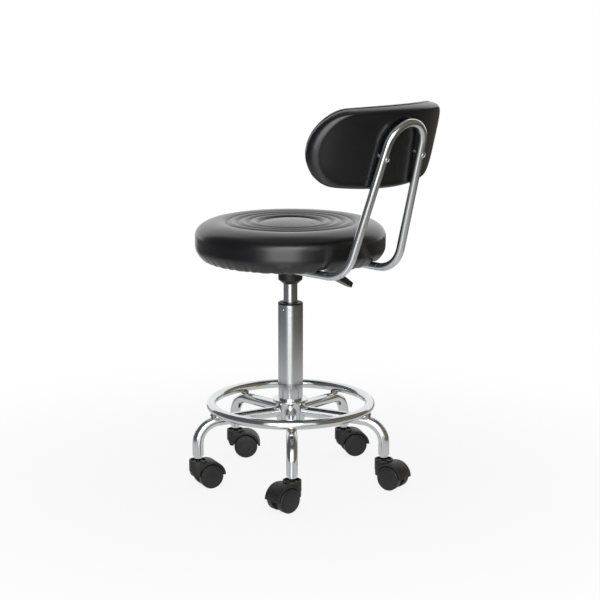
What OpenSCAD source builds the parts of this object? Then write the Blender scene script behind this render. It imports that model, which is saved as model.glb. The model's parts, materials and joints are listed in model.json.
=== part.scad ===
// Rolling stylist stool: round padded seat and curved backrest on a gas lift,
// with a five-legged tube base, a footrest ring and twin-wheel casters.
// Millimetres. The origin is on the floor under the column, +Z is up and the sitter faces -Y.

/* [Seat] */
// Height of the seat's underside above the floor, at rest
seat_z = 455; // [440:1:480]
// Diameter of the seat
seat_d = 377; // [350:1:420]
// Height of the seat from its underside to its crown
seat_h = 72; // [64:1:90]
// Height of the rounded shoulder under the crown
shoulder_h = 29; // [24:1:32]
// Width of the rounded shoulder
shoulder_w = 45; // [36:1:50]
// Radius of the rounding at the seat's lower edge
seat_foot_r = 22; // [16:1:26]
// Radius of the domed disc in the middle of the seat
dome_r = 63; // [50:1:72]
// Number of raised rings around the dome
ring_rib_count = 3; // [1:1:4]
// Width of each raised ring
ring_rib_w = 21; // [16:0.5:22]
// Depth of the sewn channels between the rings
channel_depth = 6; // [3:0.5:9]
// Thickness of the plywood under the seat
board_t = 12; // [9:1:15]
// Distance from the seat's outline to the plywood
board_margin = 18; // [14:1:24]
// Thickness of the cloth and of the wrapped edge under the seat
wrap_t = 1.5; // [1:0.5:2.5]
// Width of the wrapped edge under the plywood
wrap_w = 22; // [15:1:28]

/* [Seat plate and socket] */
// Width of the seat plate across the stool
plate_w = 110; // [96:1:116]
// Length of the seat plate from front to back
plate_l = 150; // [130:1:170]
// Thickness of the seat plate
plate_t = 3; // [2:0.5:4]
// Depth of the turned-down edges of the seat plate
plate_edge_h = 9; // [5:1:14]
// Outer diameter of the socket under the plate
socket_d = 48; // [44:1:52]
// Height of the socket with its cone
socket_h = 52; // [46:1:58]
// Height of the cone at the foot of the socket
socket_cone_h = 8; // [6:1:18]
// Room for the lever above the cylinder
lever_room = 16; // [14:1:20]

/* [Lever] */
// Distance from the column's axis to the lever's pivot
lever_pivot_x = 36; // [33:1:37]
// Diameter of the lever's rod
lever_d = 7; // [6:0.5:7]
// Droop of the lever below the horizontal, in degrees
lever_droop = 30; // [29:1:36]
// Distance from the column's axis to the end of the lever
lever_reach = 172; // [160:1:185]
// Length of the lever's grip
paddle_l = 80; // [60:1:90]
// Width of the lever's grip
paddle_w = 26; // [20:1:32]
// Diameter of the lever's pivot pin
lever_pin_d = 5; // [4:0.5:5.5]

/* [Gas lift] */
// Outer diameter of the column
column_d = 50; // [48:0.5:54]
// Wall of the column
column_wall = 1.5; // [1.2:0.1:2]
// Height of the column's top above the floor
column_top_z = 362; // [340:1:370]
// Height of the seam above the part that is drawn in to fit the hub
column_seam_z = 200; // [185:1:215]
// Outer diameter of the gas cylinder
cylinder_d = 28; // [27:0.5:29]
// Wall of the gas cylinder
cylinder_wall = 3; // [2.5:0.5:3.5]
// Height of the cylinder's foot above the floor, at rest
cylinder_foot_z = 170; // [170:1:185]
// Diameter of the piston rod
rod_d = 10; // [8:0.5:12]
// Travel of the seat above its rest height
seat_rise = 85; // [60:1:95]
// Length of the guide sleeve in the column
sleeve_l = 80; // [60:1:90]
// Diameter of the release pin in the cylinder's top
valve_pin_d = 8; // [6:0.5:9]

/* [Base] */
// Diameter of the circle that the casters stand on
stem_circle_d = 386; // [370:2:420]
// Outer diameter of the leg tube
leg_d = 22; // [20:0.5:24]
// Wall of the bent tubes
tube_wall = 1.5; // [1.2:0.1:2]
// Height of the spokes' centre line at the hub
spoke_z = 141; // [136:1:150]
// Fall of the spokes towards the bend, in degrees
spoke_fall = 3.5; // [1:0.5:5]
// Bend radius of the legs at the centre line
leg_bend_r = 45; // [38:1:48]
// Direction of the first leg, in degrees
leg_turn = 46.7; // [0:0.1:72]
// Outer diameter of the hub
hub_d = 56; // [55:0.5:62]
// Height of the hub
hub_h = 50; // [46:1:56]
// Diameter of the flared rim of the hub
hub_rim_d = 71; // [66:1:78]
// Distance of the footrest ring's centre line inside the caster stems
ring_inset = 34.5; // [28:0.5:48]
// Outer diameter of the footrest ring's tube
ring_d = 19; // [16:0.5:22]
// Height of the posts between the legs and the footrest ring
post_h = 2.5; // [1.5:0.5:6]
// Diameter of those posts
post_d = 13; // [10:0.5:14]

/* [Casters] */
// Diameter of the wheels
wheel_d = 48; // [46:1:54]
// Width of each wheel
wheel_w = 15; // [13:0.5:17]
// Thickness of the hood's web between the wheels
web_t = 14; // [13.5:0.5:16]
// Distance from the swivel axis to the axle
caster_trail = 21.5; // [19:0.5:24]
// Diameter of the boss around the stem
boss_d = 36; // [32:0.5:38]
// Thickness of the hood over the wheels
hood_wall = 4.6; // [3.5:0.1:5.5]
// Diameter of the axle
axle_d = 6; // [5:0.5:8]
// Diameter of the stem
stem_d = 10; // [9:0.5:10.5]
// Length of stem that shows between the hood and the leg
stem_shows = 4.3; // [1:0.1:6]

/* [Backrest] */
// Outer diameter of the back tube
back_tube_d = 16; // [14:0.5:18]
// Distance between the two runs under the seat, at the centre lines
back_tube_span = 138; // [136:1:150]
// Distance from the column's axis to the corner of the tube
back_corner_y = 218; // [210:1:232]
// Bend radius of the tube behind the seat
back_bend_r = 64; // [50:1:70]
// Lean of the tube behind the vertical, in degrees
back_lean = 17.8; // [10:0.1:22]
// Radius of the arch at the top of the tube
arch_r = 47; // [40:1:52]
// Distance from the corner to the arch's centre, along the tube
arch_up = 260; // [240:1:280]
// Distance from the corner to the backrest's screws, along the tube
screw_up = 242; // [225:1:250]
// Width of the backrest, measured round its rear face
pad_w = 386; // [350:1:400]
// Height of the backrest at its round ends
pad_h = 136; // [125:1:150]
// Rise of the backrest's upper edge in the middle
pad_arch = 24; // [0:1:30]
// Thickness of the backrest at its rim
pad_t = 42; // [36:1:50]
// Extra thickness in the middle of the backrest
pad_crown = 5; // [0:0.5:10]
// Radius of the backrest's rear face, seen from above
pad_bow_r = 253; // [225:1:320]
// Rounding of the backrest's rim towards the front
pad_edge = 20; // [14:1:26]
// Rounding of the backrest's rim towards the rear
pad_rear_edge = 7; // [6:1:14]
// Extra distance of the rear panel from the pad's two ends
pad_rear_taper = 15; // [0:1:20]
// Depth of the rim's widest line in front of the rear face
pad_widest = 21; // [16:1:26]
// Distance from the screws up to the middle of the backrest's ends
pad_rise = -2; // [-8:1:8]
// Angle by which the backrest stands steeper than the tube, in degrees
pad_tip = 3; // [1.5:0.1:4]
// Gap between the tube and the backrest's rear face where they come closest
pad_gap = 0.6; // [0.4:0.1:2]
// Thickness of the plywood in the backrest
pad_board_t = 8; // [7:0.5:10]
// Thickness of the backrest's rear panel
pad_cover_t = 3; // [2:0.5:4]

/* [Hidden] */
$fn = 96;

// Fits
fit_gap = 0.05;
soft_gap = 0.3;
wheel_gap = 1.4;
reach_past = 1;
bend_lap = 0.5;
bend_thinning = 0.12;

// Colours
chrome_tone = "gainsboro";
steel_tone = "silver";
black_plastic = [0.12, 0.12, 0.13];
black_vinyl = [0.08, 0.08, 0.09];
plywood_tone = "burlywood";

// Casters: heights come from the wheel
leg_count = 5;
trail_angles = [356, 101, 150, 137, 162];
axle_z = wheel_d / 2;
hood_r = wheel_d / 2 + wheel_gap + hood_wall;
boss_rise = 3;
boss_neck = 5;
boss_wall = 3;
boss_skin = 1;
lip_rise = 1;
lug_wall = 4.2;
boss_cup = 3.5;
boss_foot = 11;
boss_toe = 4;
boss_toe_inset = 6;
boss_toe_d = boss_d - 2 * boss_toe_inset;
boss_top_z = axle_z + hood_r + boss_rise;
boss_foot_z = axle_z + boss_foot;
boss_toe_z = axle_z + boss_toe;
disc_proud = 3;
end_gap = 0.5;
wheel_inner_y = web_t / 2 + end_gap;
wheel_outer_y = wheel_inner_y + wheel_w;
hood_half_w = wheel_outer_y - disc_proud;
wheel_cap_t = 3.5;
axle_half = wheel_outer_y - wheel_cap_t - end_gap;
stem_floor = 4;
stem_low_z = boss_toe_z + stem_floor;
socket_flange_t = 4.7;
socket_flange_inset = 2.5;
socket_flange_d = leg_d - 2 * socket_flange_inset;
leg_foot_z = boss_top_z + stem_shows + socket_flange_t;
socket_roof_t = 1.5;

// Base
stem_r = stem_circle_d / 2;
ring_r = stem_r - ring_inset;
leg_bore_d = leg_d - 2 * tube_wall;
leg_corner_z = spoke_z - (stem_r - hub_d / 2) * tan(spoke_fall);
spoke_lead = 4;
leg_path = [[hub_d / 2 - spoke_lead, spoke_z + spoke_lead * tan(spoke_fall)],
    [stem_r, leg_corner_z], [stem_r, leg_foot_z]];
bend_foot_z = leg_corner_z - leg_bend_r * tan(45 - spoke_fall / 2);
stem_into_leg = bend_foot_z - bend_lap - leg_foot_z - end_gap - socket_roof_t - soft_gap;
stem_top_z = leg_foot_z + stem_into_leg;
grip_drop = 8;
grip_ring_z = stem_top_z - grip_drop;
grip_ring_h = 2;
grip_groove = 1;
grip_play = 0.2;
grip_ring_d = stem_d + 2 * grip_groove;
bend_start_r = stem_r - leg_bend_r * tan(45 - spoke_fall / 2) * cos(spoke_fall);
into_bend = max(0, ring_r - bend_start_r);
bend_fall = leg_bend_r - sqrt(leg_bend_r ^ 2 - into_bend ^ 2);
leg_z_at_ring = spoke_z - (ring_r - hub_d / 2) * tan(spoke_fall) - bend_fall;
ring_z = leg_z_at_ring + leg_d / 2 + post_h + ring_d / 2;
hub_low_z = spoke_z - hub_h / 2;
hub_top_z = hub_low_z + hub_h;
rim_t = 4;
vent_d = 4;
smooth_facets = 240;

// Column and lift
column_r = column_d / 2;
column_bore_r = column_r - column_wall;
neck_step = 0.5;
neck_taper = 0.35;
neck_wall = 2;
neck_below_hub = 6;
column_foot_z = hub_low_z - neck_below_hub;
column_floor_t = 3;
sleeve_rim_h = 3;
sleeve_rim_step = 0.2;
column_tube_top_z = column_top_z - sleeve_rim_h;
cylinder_r = cylinder_d / 2;
cylinder_bore_r = cylinder_r - cylinder_wall;
cylinder_taper = 1.43;
gland_h = 18;
piston_h = 15;
rod_neck_d = rod_d - 2;
washer_t = 1.5;
washer_r = 13;
ball_d = 4;
ball_count = 9;
ball_circle_r = 8.6;
cage_h = 1.6;
cage_margin = 1;
clip_t = 1.5;
clip_r = 9;
bumper_h = 10;
bumper_r = 12;
bearing_z = column_foot_z + column_floor_t;
ball_z = bearing_z + washer_t + fit_gap + ball_d / 2;
shoulder_z = ball_z + ball_d / 2 + fit_gap + washer_t;
piston_gap = 1;
rod_top_z = cylinder_foot_z + seat_rise + gland_h + piston_gap + piston_h;
crimp_angles = [135, 160, 255, 280, 15, 40];
crimp_r = 3;
crimp_depth = 0.6;
crimp_drop = 9;

// Seat, plate and socket
seat_r = seat_d / 2;
crown_z = seat_z + seat_h;
board_r = seat_r - board_margin;
board_z = seat_z + wrap_t;
board_top_z = board_z + board_t;
cover_r = board_r - wrap_w;
plate_low_z = seat_z - plate_t;
plate_corner_r = 10;
plate_hole_margin = 13;
plate_hole_x = plate_w / 2 - plate_hole_margin;
plate_hole_y = plate_l / 2 - plate_hole_margin;
socket_low_z = plate_low_z - socket_h;
socket_lip = 1;
socket_mouth_r = cylinder_r + socket_lip;
cylinder_top_z = plate_low_z - lever_room;
cylinder_lid_t = 12;
taper_lead = 2;
taper_start_z = socket_low_z + taper_lead;
taper_top_r = cylinder_r - (cylinder_top_z - taper_start_z) * tan(cylinder_taper);

// Lever: the rod's centre line runs in the XZ plane
valve_proud = 4.7;
valve_top_z = cylinder_top_z + valve_proud;
lever_z = valve_top_z + soft_gap + lever_d / 2;
lever_tip_x = -2;
lever_knee_x = lever_pivot_x + 9;
lever_bend_r = 8;
lever_barrel_d = lever_pin_d + 6;
lever_barrel_w = 12;
lug_t = 2.5;
lug_w = 14;
pin_head_d = lever_pin_d + 3;
pin_head_t = 1.5;
rod_in_paddle = 28;
paddle_root_x = lever_reach - paddle_l * cos(lever_droop);
rod_end_x = paddle_root_x + rod_in_paddle;
valve_flange_t = 3;
valve_flange_d = valve_pin_d + 5;
valve_tail = 8;
valve_low_z = cylinder_top_z - cylinder_lid_t - valve_tail;
lever_slot_h = 2 * lever_d;
lever_path = [[lever_tip_x, lever_z], [lever_knee_x, lever_z], [rod_end_x, lever_line(rod_end_x)]];

// Back tube: the corner frame leans back, and the legs lean in towards the arch
tube_z = seat_z - soft_gap - back_tube_d / 2;
tube_bore_d = back_tube_d - 2 * tube_wall;
half_span = back_tube_span / 2;
leg_lean_in = 2 * atan((half_span - arch_r) / (arch_up + sqrt(arch_up ^ 2 - arch_r ^ 2 + half_span ^ 2)));
bend_roll = atan(tan(leg_lean_in) / cos(back_lean));
bend_turn = acos(sin(back_lean) * cos(leg_lean_in));
leg_run = (arch_up + arch_r * sin(leg_lean_in)) / cos(leg_lean_in);
tube_end_y = -75;
front_bolt_inset = 30;
rear_bolt_inset = 103;
tube_bolt_ys = [tube_end_y + front_bolt_inset, back_corner_y - rear_bolt_inset];
screw_x = half_span - screw_up * tan(leg_lean_in);
plug_l = 15;
plug_head_t = 2;

// Fasteners
bolt_d = 6;
bolt_head_d = 11;
bolt_head_h = 3.2;
bolt_hole_d = bolt_d + 0.6;
nut_barrel_d = bolt_d + 3;
nut_play = 0.5;
nut_flange_d = 18;
nut_flange_t = 1.5;
screw_head_d = 12;
screw_head_h = 4;
tube_bolt_head_d = tube_bore_d - 4;
tube_bolt_seat = sqrt(tube_bore_d ^ 2 - tube_bolt_head_d ^ 2) / 2;
access_hole_d = tube_bolt_head_d + 1.5;

// Backrest: rings of points on a bowed face
end_steps = 10;
side_steps = 14;
ring_points = 2 * (end_steps + side_steps);
rim_steps = 8;
crown_steps = 4;
pad_axis_y = -sqrt(pad_bow_r ^ 2 - screw_x ^ 2);
recess_inset = pad_rear_edge + 2;
recess_t = pad_cover_t + pad_board_t + 2 * soft_gap;
panel_inset = recess_inset + soft_gap;
core_r = 5;
inner_inset = pad_h / 2 - core_r;
panel_steps = 4;

// The backrest stands off the tube at the screws, so that it clears the tube's arch and its legs
arch_above = arch_up + arch_r - screw_up;
rim_below = pad_h / 2 - pad_rise;
leg_x_at_rim = screw_x + rim_below * tan(leg_lean_in);
arch_need = bow_drop(screw_x) - arch_above * tan(pad_tip);
leg_need = rim_below * tan(pad_tip) - bow_drop(leg_x_at_rim) + bow_drop(screw_x);
pad_standoff = pad_gap + max(arch_need, leg_need);

// Barrel nuts end inside the plywood, which slopes away from the screws
nut_tilt = asin(screw_x / pad_bow_r) + pad_tip;
nut_sink = nut_flange_d / 2 * tan(nut_tilt) + soft_gap;
back_nut_l = pad_standoff + pad_cover_t + soft_gap + pad_board_t - nut_sink - fit_gap;

// Distance that the backrest's rear face falls forward at a distance from the middle
function bow_drop(x) = pad_bow_r - sqrt(pad_bow_r ^ 2 - x ^ 2);

// Height of the lever's drooping line at a distance from the column
function lever_line(x) = lever_z - (x - lever_knee_x) * tan(lever_droop);

// Radius of the column's drawn-in neck at a height
function neck_r(z) = column_r - neck_step - (column_seam_z - z) * tan(neck_taper);

// Direction of a path's segment in degrees, and its unit vector
function heading(path, i) = atan2(path[i + 1].y - path[i].y, path[i + 1].x - path[i].x);
function unit(angle) = [cos(angle), sin(angle)];

// Turn of a path at an inner point, brought between -180 and 180 degrees
function path_turn(path, i) = let (t = heading(path, i) - heading(path, i - 1)) t > 180 ? t - 360
    : t < -180 ? t + 360 : t;

// Length that a bend takes from each side of its corner
function bend_take(path, i, r) = i == 0 || i == len(path) - 1 ? 0 : r * tan(abs(path_turn(path, i)) / 2);

// Points of a half-ellipse arc from one angle to another
function arc(cx, cz, rx, rz, from, to, steps) = [for (k = [0:steps])
    let (a = from + (to - from) * k / steps) [cx + rx * cos(a), cz + rz * sin(a)]];

// Round bar along a flat path in the XY plane. Bends are drawn a touch thinner than the straight
// runs, which lap over them. The first and last run can be lengthened.
module bent_bar(path, bend_r, d, before = 0, after = 0) {
    last = len(path) - 1;
    for (i = [0:last - 1]) {
        along = heading(path, i);
        start = i == 0 ? -before : bend_take(path, i, bend_r) - bend_lap;
        run = norm(path[i + 1] - path[i]);
        finish = i == last - 1 ? run + after : run - bend_take(path, i + 1, bend_r) + bend_lap;
        from = path[i] + start * unit(along);
        translate([from.x, from.y, 0]) rotate([0, 90, along]) cylinder(d = d, h = finish - start);
    }
    for (i = [1:1:last - 1]) {
        turn = path_turn(path, i);
        side = turn > 0 ? 1 : -1;
        along = heading(path, i - 1);
        centre = path[i] - bend_take(path, i, bend_r) * unit(along) + side * bend_r * unit(along + 90);
        translate([centre.x, centre.y, 0]) rotate(along - side * 90 + min(0, turn))
            rotate_extrude(angle = abs(turn)) translate([bend_r, 0]) circle(d = d - bend_thinning);
    }
}

module tube_section(outer_d, bore_d) {
    difference() {
        circle(d = outer_d);
        if (bore_d > 0) circle(d = bore_d);
    }
}

// Ring with a square section
module washer(outer_r, bore_r, height) {
    difference() {
        cylinder(r = outer_r, h = height);
        translate([0, 0, -reach_past]) cylinder(r = bore_r, h = height + 2 * reach_past);
    }
}

// Children at each leg's direction
module at_leg(n) {
    rotate(leg_turn + (n - 1) * 360 / leg_count) children();
}

// Children at each caster: the axle trails along +X
module at_caster(n) {
    at_leg(n) translate([stem_r, 0, 0])
        rotate(trail_angles[n - 1] - leg_turn - (n - 1) * 360 / leg_count) children();
}

module at_stems() {
    for (n = [1:leg_count]) at_leg(n) translate([stem_r, 0, 0]) children();
}

// Base
module base_hub() {
    rim_r = hub_rim_d / 2;
    flare_z = hub_top_z - rim_t - (rim_r - hub_d / 2);
    color(chrome_tone) rotate_extrude() polygon(concat(
        [[neck_r(hub_low_z) + fit_gap, hub_low_z], [hub_d / 2, hub_low_z]],
        arc(rim_r, flare_z, rim_r - hub_d / 2, rim_r - hub_d / 2, 180, 90, 6),
        arc(rim_r - rim_t / 2, hub_top_z - rim_t / 2, rim_t / 2, rim_t / 2, -60, 90, 5),
        [[neck_r(hub_top_z) + fit_gap, hub_top_z]]));
}

module leg_bar(d, past) {
    rotate([90, 0, 0]) bent_bar(leg_path, leg_bend_r, d, past, past);
}

module leg(n) {
    color(chrome_tone) at_leg(n) difference() {
        leg_bar(leg_d, 0);
        leg_bar(leg_bore_d, reach_past);
        translate([0, 0, hub_low_z]) cylinder(d = hub_d + 2 * fit_gap, h = hub_h);
    }
}

module footrest_ring() {
    color(chrome_tone) difference() {
        translate([0, 0, ring_z]) rotate_extrude() translate([ring_r, 0])
            tube_section(ring_d, ring_d - 2 * tube_wall);
        rotate(leg_turn + 180 / leg_count) translate([ring_r, 0, ring_z - ring_d])
            cylinder(d = vent_d, h = ring_d);
    }
}

module ring_posts() {
    color(steel_tone) for (n = [1:leg_count]) at_leg(n) difference() {
        translate([ring_r, 0, leg_z_at_ring]) cylinder(d = post_d, h = ring_z - leg_z_at_ring);
        leg_bar(leg_d + 2 * fit_gap, 0);
        translate([0, 0, ring_z]) rotate_extrude($fn = smooth_facets) translate([ring_r, 0])
            circle(d = ring_d + 2 * fit_gap);
    }
}

module leg_sockets() {
    bore_h = stem_top_z - boss_top_z + end_gap;
    color(chrome_tone) at_stems() difference() {
        union() {
            translate([0, 0, leg_foot_z - socket_flange_t])
                cylinder(d = socket_flange_d, h = socket_flange_t);
            translate([0, 0, leg_foot_z])
                cylinder(d = leg_bore_d - 2 * fit_gap, h = stem_into_leg + end_gap + socket_roof_t);
        }
        translate([0, 0, boss_top_z]) cylinder(d = stem_d + 2 * fit_gap, h = bore_h);
        translate([0, 0, grip_ring_z - grip_play])
            cylinder(d = grip_ring_d + 2 * grip_play, h = grip_ring_h + 2 * grip_play);
    }
}

module caster_stems() {
    color(steel_tone) at_stems() difference() {
        translate([0, 0, stem_low_z + soft_gap])
            cylinder(d = stem_d, h = stem_top_z - stem_low_z - soft_gap);
        translate([0, 0, grip_ring_z]) washer(stem_d, stem_d / 2 - grip_groove, grip_ring_h);
    }
}

// Split rings that hold the stems in their sockets
module grip_rings() {
    slot_w = 2;
    color(steel_tone) at_stems() translate([0, 0, grip_ring_z + fit_gap]) difference() {
        washer(grip_ring_d / 2, stem_d / 2 - grip_groove + fit_gap, grip_ring_h - 2 * fit_gap);
        translate([0, -slot_w / 2, -reach_past]) cube([grip_ring_d, slot_w, grip_ring_h + 2 * reach_past]);
    }
}

// Gas lift
module column_tube() {
    floor_z = column_foot_z + column_floor_t;
    color(chrome_tone) difference() {
        rotate_extrude() polygon([
            [rod_neck_d / 2 + 2 * fit_gap, column_foot_z], [neck_r(column_foot_z), column_foot_z],
            [neck_r(column_seam_z), column_seam_z], [column_r, column_seam_z + neck_step],
            [column_r, column_tube_top_z], [column_bore_r, column_tube_top_z],
            [column_bore_r, column_seam_z + neck_wall],
            [neck_r(column_seam_z) - neck_wall, column_seam_z - neck_wall],
            [neck_r(floor_z) - neck_wall, floor_z], [rod_neck_d / 2 + 2 * fit_gap, floor_z]]);
        for (a = crimp_angles) rotate(a)
            translate([column_r + crimp_r - crimp_depth, 0, column_tube_top_z - crimp_drop]) sphere(crimp_r);
    }
}

module guide_sleeve() {
    bore_r = cylinder_r + fit_gap;
    rim_r = column_r - sleeve_rim_step;
    color(black_plastic) rotate_extrude() polygon([
        [bore_r, column_top_z - sleeve_l], [column_bore_r - fit_gap, column_top_z - sleeve_l],
        [column_bore_r - fit_gap, column_tube_top_z], [rim_r, column_tube_top_z],
        [rim_r, column_top_z - sleeve_rim_h / 2], [rim_r - sleeve_rim_h / 2, column_top_z],
        [bore_r + sleeve_rim_h / 2, column_top_z], [bore_r, column_top_z - sleeve_rim_h / 2]]);
}

module bearing_washer_lower() {
    color(steel_tone) translate([0, 0, bearing_z]) washer(washer_r, rod_neck_d / 2 + 2 * fit_gap, washer_t);
}

// Ball cage with its loose balls
module thrust_bearing() {
    color(steel_tone) {
        translate([0, 0, ball_z - cage_h / 2]) difference() {
            washer(washer_r - cage_margin, rod_neck_d / 2 + cage_margin, cage_h);
            at_balls() translate([0, 0, -reach_past])
                cylinder(d = ball_d + 4 * fit_gap, h = cage_h + 2 * reach_past);
        }
        translate([0, 0, ball_z]) at_balls() sphere(d = ball_d);
    }
}

module at_balls() {
    for (k = [1:ball_count]) rotate(k * 360 / ball_count) translate([ball_circle_r, 0, 0]) children();
}

module bearing_washer_upper() {
    color(steel_tone) translate([0, 0, shoulder_z - washer_t])
        washer(washer_r, rod_neck_d / 2 + fit_gap, washer_t);
}

module bumper() {
    color(black_plastic) translate([0, 0, shoulder_z]) washer(bumper_r, rod_d / 2 + fit_gap, bumper_h);
}

module piston_rod() {
    neck_low_z = column_foot_z - 2 * clip_t - soft_gap;
    color(steel_tone) {
        translate([0, 0, neck_low_z]) cylinder(d = rod_neck_d, h = shoulder_z - neck_low_z);
        translate([0, 0, shoulder_z]) cylinder(d = rod_d, h = rod_top_z - shoulder_z);
    }
}

module piston() {
    color(steel_tone) translate([0, 0, rod_top_z - piston_h])
        washer(cylinder_bore_r - fit_gap, rod_d / 2 + fit_gap, piston_h - piston_gap);
}

module retaining_clip() {
    color(steel_tone) translate([0, 0, column_foot_z - clip_t - soft_gap])
        washer(clip_r, rod_neck_d / 2 + fit_gap, clip_t);
}

module gas_cylinder() {
    lid_z = cylinder_top_z - cylinder_lid_t;
    pin_r = valve_pin_d / 2 + fit_gap;
    color(steel_tone) rotate_extrude() polygon([
        [cylinder_bore_r, cylinder_foot_z], [cylinder_r, cylinder_foot_z], [cylinder_r, taper_start_z],
        [taper_top_r, cylinder_top_z], [pin_r, cylinder_top_z], [pin_r, lid_z], [cylinder_bore_r, lid_z]]);
}

module cylinder_gland() {
    color(black_plastic) translate([0, 0, cylinder_foot_z])
        washer(cylinder_bore_r - fit_gap, rod_d / 2 + fit_gap, gland_h);
}

module valve_pin() {
    color(steel_tone) {
        translate([0, 0, valve_low_z]) cylinder(d = valve_pin_d, h = valve_top_z - valve_low_z);
        translate([0, 0, valve_low_z]) cylinder(d = valve_flange_d, h = valve_flange_t);
    }
}

// Seat
module seat_cushion() {
    wall_top_z = crown_z - shoulder_h;
    ribs_r = dome_r + ring_rib_count * ring_rib_w;
    groove_z = crown_z - channel_depth;
    crown_r = seat_r - shoulder_w;
    rib_steps = 8;
    ribs = [for (rib = [ring_rib_count:-1:1], k = [0:rib_steps - 1])
        [dome_r + ring_rib_w * (rib - k / rib_steps), groove_z + channel_depth * sin(180 * k / rib_steps)]];
    dome = [for (k = [0:rib_steps])
        [dome_r * (1 - k / rib_steps), groove_z + channel_depth * sin(90 * min(1, 2 * k / rib_steps))]];
    color(black_vinyl) rotate_extrude() polygon(concat(
        [[0, board_top_z + soft_gap], [board_r + soft_gap, board_top_z + soft_gap],
            [board_r + soft_gap, board_z], [cover_r, board_z], [cover_r, seat_z]],
        arc(seat_r - seat_foot_r, seat_z + seat_foot_r, seat_foot_r, seat_foot_r, -90, 0, 8),
        arc(crown_r, wall_top_z, shoulder_w, shoulder_h, 0, 90, 12),
        arc(ribs_r, groove_z, max(1, crown_r - ribs_r), channel_depth, 60, 90, 3),
        ribs, dome));
}

module seat_bolt_places() {
    for (x = [-1, 1], y = [-1, 1]) translate([x * plate_hole_x, y * plate_hole_y, 0]) children();
}

module tube_bolt_places() {
    for (x = [-half_span, half_span], y = tube_bolt_ys) translate([x, y, 0]) children();
}

// Holes for all the seat's bolts, between two heights
module board_holes(diameter, from, to) {
    seat_bolt_places() translate([0, 0, from]) cylinder(d = diameter, h = to - from);
    tube_bolt_places() translate([0, 0, from]) cylinder(d = diameter, h = to - from);
}

module seat_board() {
    flange_low_z = board_top_z - nut_flange_t - fit_gap;
    color(plywood_tone) difference() {
        translate([0, 0, board_z]) cylinder(r = board_r, h = board_t);
        board_holes(nut_barrel_d + 2 * fit_gap, board_z - reach_past, board_top_z + reach_past);
        board_holes(nut_flange_d + 2 * fit_gap, flange_low_z, board_top_z + reach_past);
    }
}

module dust_cover() {
    color(black_vinyl) difference() {
        translate([0, 0, seat_z]) cylinder(r = cover_r - soft_gap, h = wrap_t);
        board_holes(bolt_hole_d, seat_z - reach_past, board_z + reach_past);
    }
}

// Rectangle with round corners
module rounded_plate(w, l, r, t) {
    linear_extrude(t) union() {
        square([w - 2 * r, l], center = true);
        square([w, l - 2 * r], center = true);
        for (x = [-1, 1], y = [-1, 1]) translate([x * (w / 2 - r), y * (l / 2 - r)]) circle(r);
    }
}

module seat_plate() {
    edge_l = plate_l - 2 * plate_corner_r;
    lug_y = lever_barrel_w / 2 + soft_gap;
    color(black_plastic) difference() {
        union() {
            translate([0, 0, plate_low_z]) rounded_plate(plate_w, plate_l, plate_corner_r, plate_t);
            for (x = [0, plate_w - plate_t])
                translate([x - plate_w / 2, -edge_l / 2, plate_low_z - plate_edge_h])
                    cube([plate_t, edge_l, plate_edge_h + plate_t / 2]);
            for (y = [lug_y, -lug_y - lug_t]) {
                translate([-lever_pivot_x - lug_w / 2, y, lever_z])
                    cube([lug_w, lug_t, plate_low_z - lever_z + plate_t / 2]);
                translate([-lever_pivot_x, y, lever_z]) rotate([-90, 0, 0]) cylinder(d = lug_w, h = lug_t);
            }
        }
        seat_bolt_places() translate([0, 0, plate_low_z - reach_past])
            cylinder(d = bolt_hole_d, h = plate_t + 2 * reach_past);
        translate([-lever_pivot_x, -lug_w, lever_z]) rotate([-90, 0, 0])
            cylinder(d = lever_pin_d + 2 * fit_gap, h = 2 * lug_w);
        translate([-plate_w, -lever_barrel_w, plate_low_z - plate_edge_h - reach_past])
            cube([plate_w / 2 + plate_t + fit_gap, 2 * lever_barrel_w, plate_edge_h + reach_past]);
    }
}

module plate_socket() {
    outer_r = socket_d / 2;
    cone_top_z = socket_low_z + socket_cone_h;
    color(black_plastic) difference() {
        rotate_extrude() polygon([
            [cylinder_r + fit_gap, socket_low_z], [socket_mouth_r, socket_low_z], [outer_r, cone_top_z],
            [outer_r, plate_low_z], [taper_top_r + fit_gap, plate_low_z],
            [taper_top_r + fit_gap, cylinder_top_z], [cylinder_r + fit_gap, taper_start_z]]);
        translate([-socket_d, -lever_barrel_w / 2, lever_z - lever_slot_h / 2])
            cube([socket_d, lever_barrel_w, lever_slot_h]);
    }
}

// Pan head with its shank: the seat of the head is at the origin
module pan_bolt(head_d, head_h, shank_l) {
    cap_r = (head_d ^ 2 / 4 + head_h ^ 2) / (2 * head_h);
    intersection() {
        translate([0, 0, -head_h]) cylinder(d = head_d, h = head_h);
        translate([0, 0, cap_r - head_h]) sphere(cap_r);
    }
    cylinder(d = bolt_d, h = shank_l);
}

module plate_screws() {
    color(steel_tone) seat_bolt_places() translate([0, 0, plate_low_z])
        pan_bolt(bolt_head_d, bolt_head_h, board_top_z - plate_low_z - fit_gap);
}

// The heads sit inside the tube, under its upper wall
module tube_bolts() {
    head_z = tube_z + tube_bolt_seat - fit_gap;
    color(steel_tone) tube_bolt_places() translate([0, 0, head_z])
        pan_bolt(tube_bolt_head_d, bolt_head_h, board_top_z - head_z - fit_gap);
}

// Barrel nut with a round flange: the flange is at the far end
module tee_nut(barrel_l) {
    difference() {
        union() {
            cylinder(d = nut_barrel_d, h = barrel_l);
            translate([0, 0, barrel_l - nut_flange_t]) cylinder(d = nut_flange_d, h = nut_flange_t);
        }
        translate([0, 0, -reach_past]) cylinder(d = bolt_d + 2 * fit_gap, h = barrel_l + 2 * reach_past);
    }
}

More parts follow.
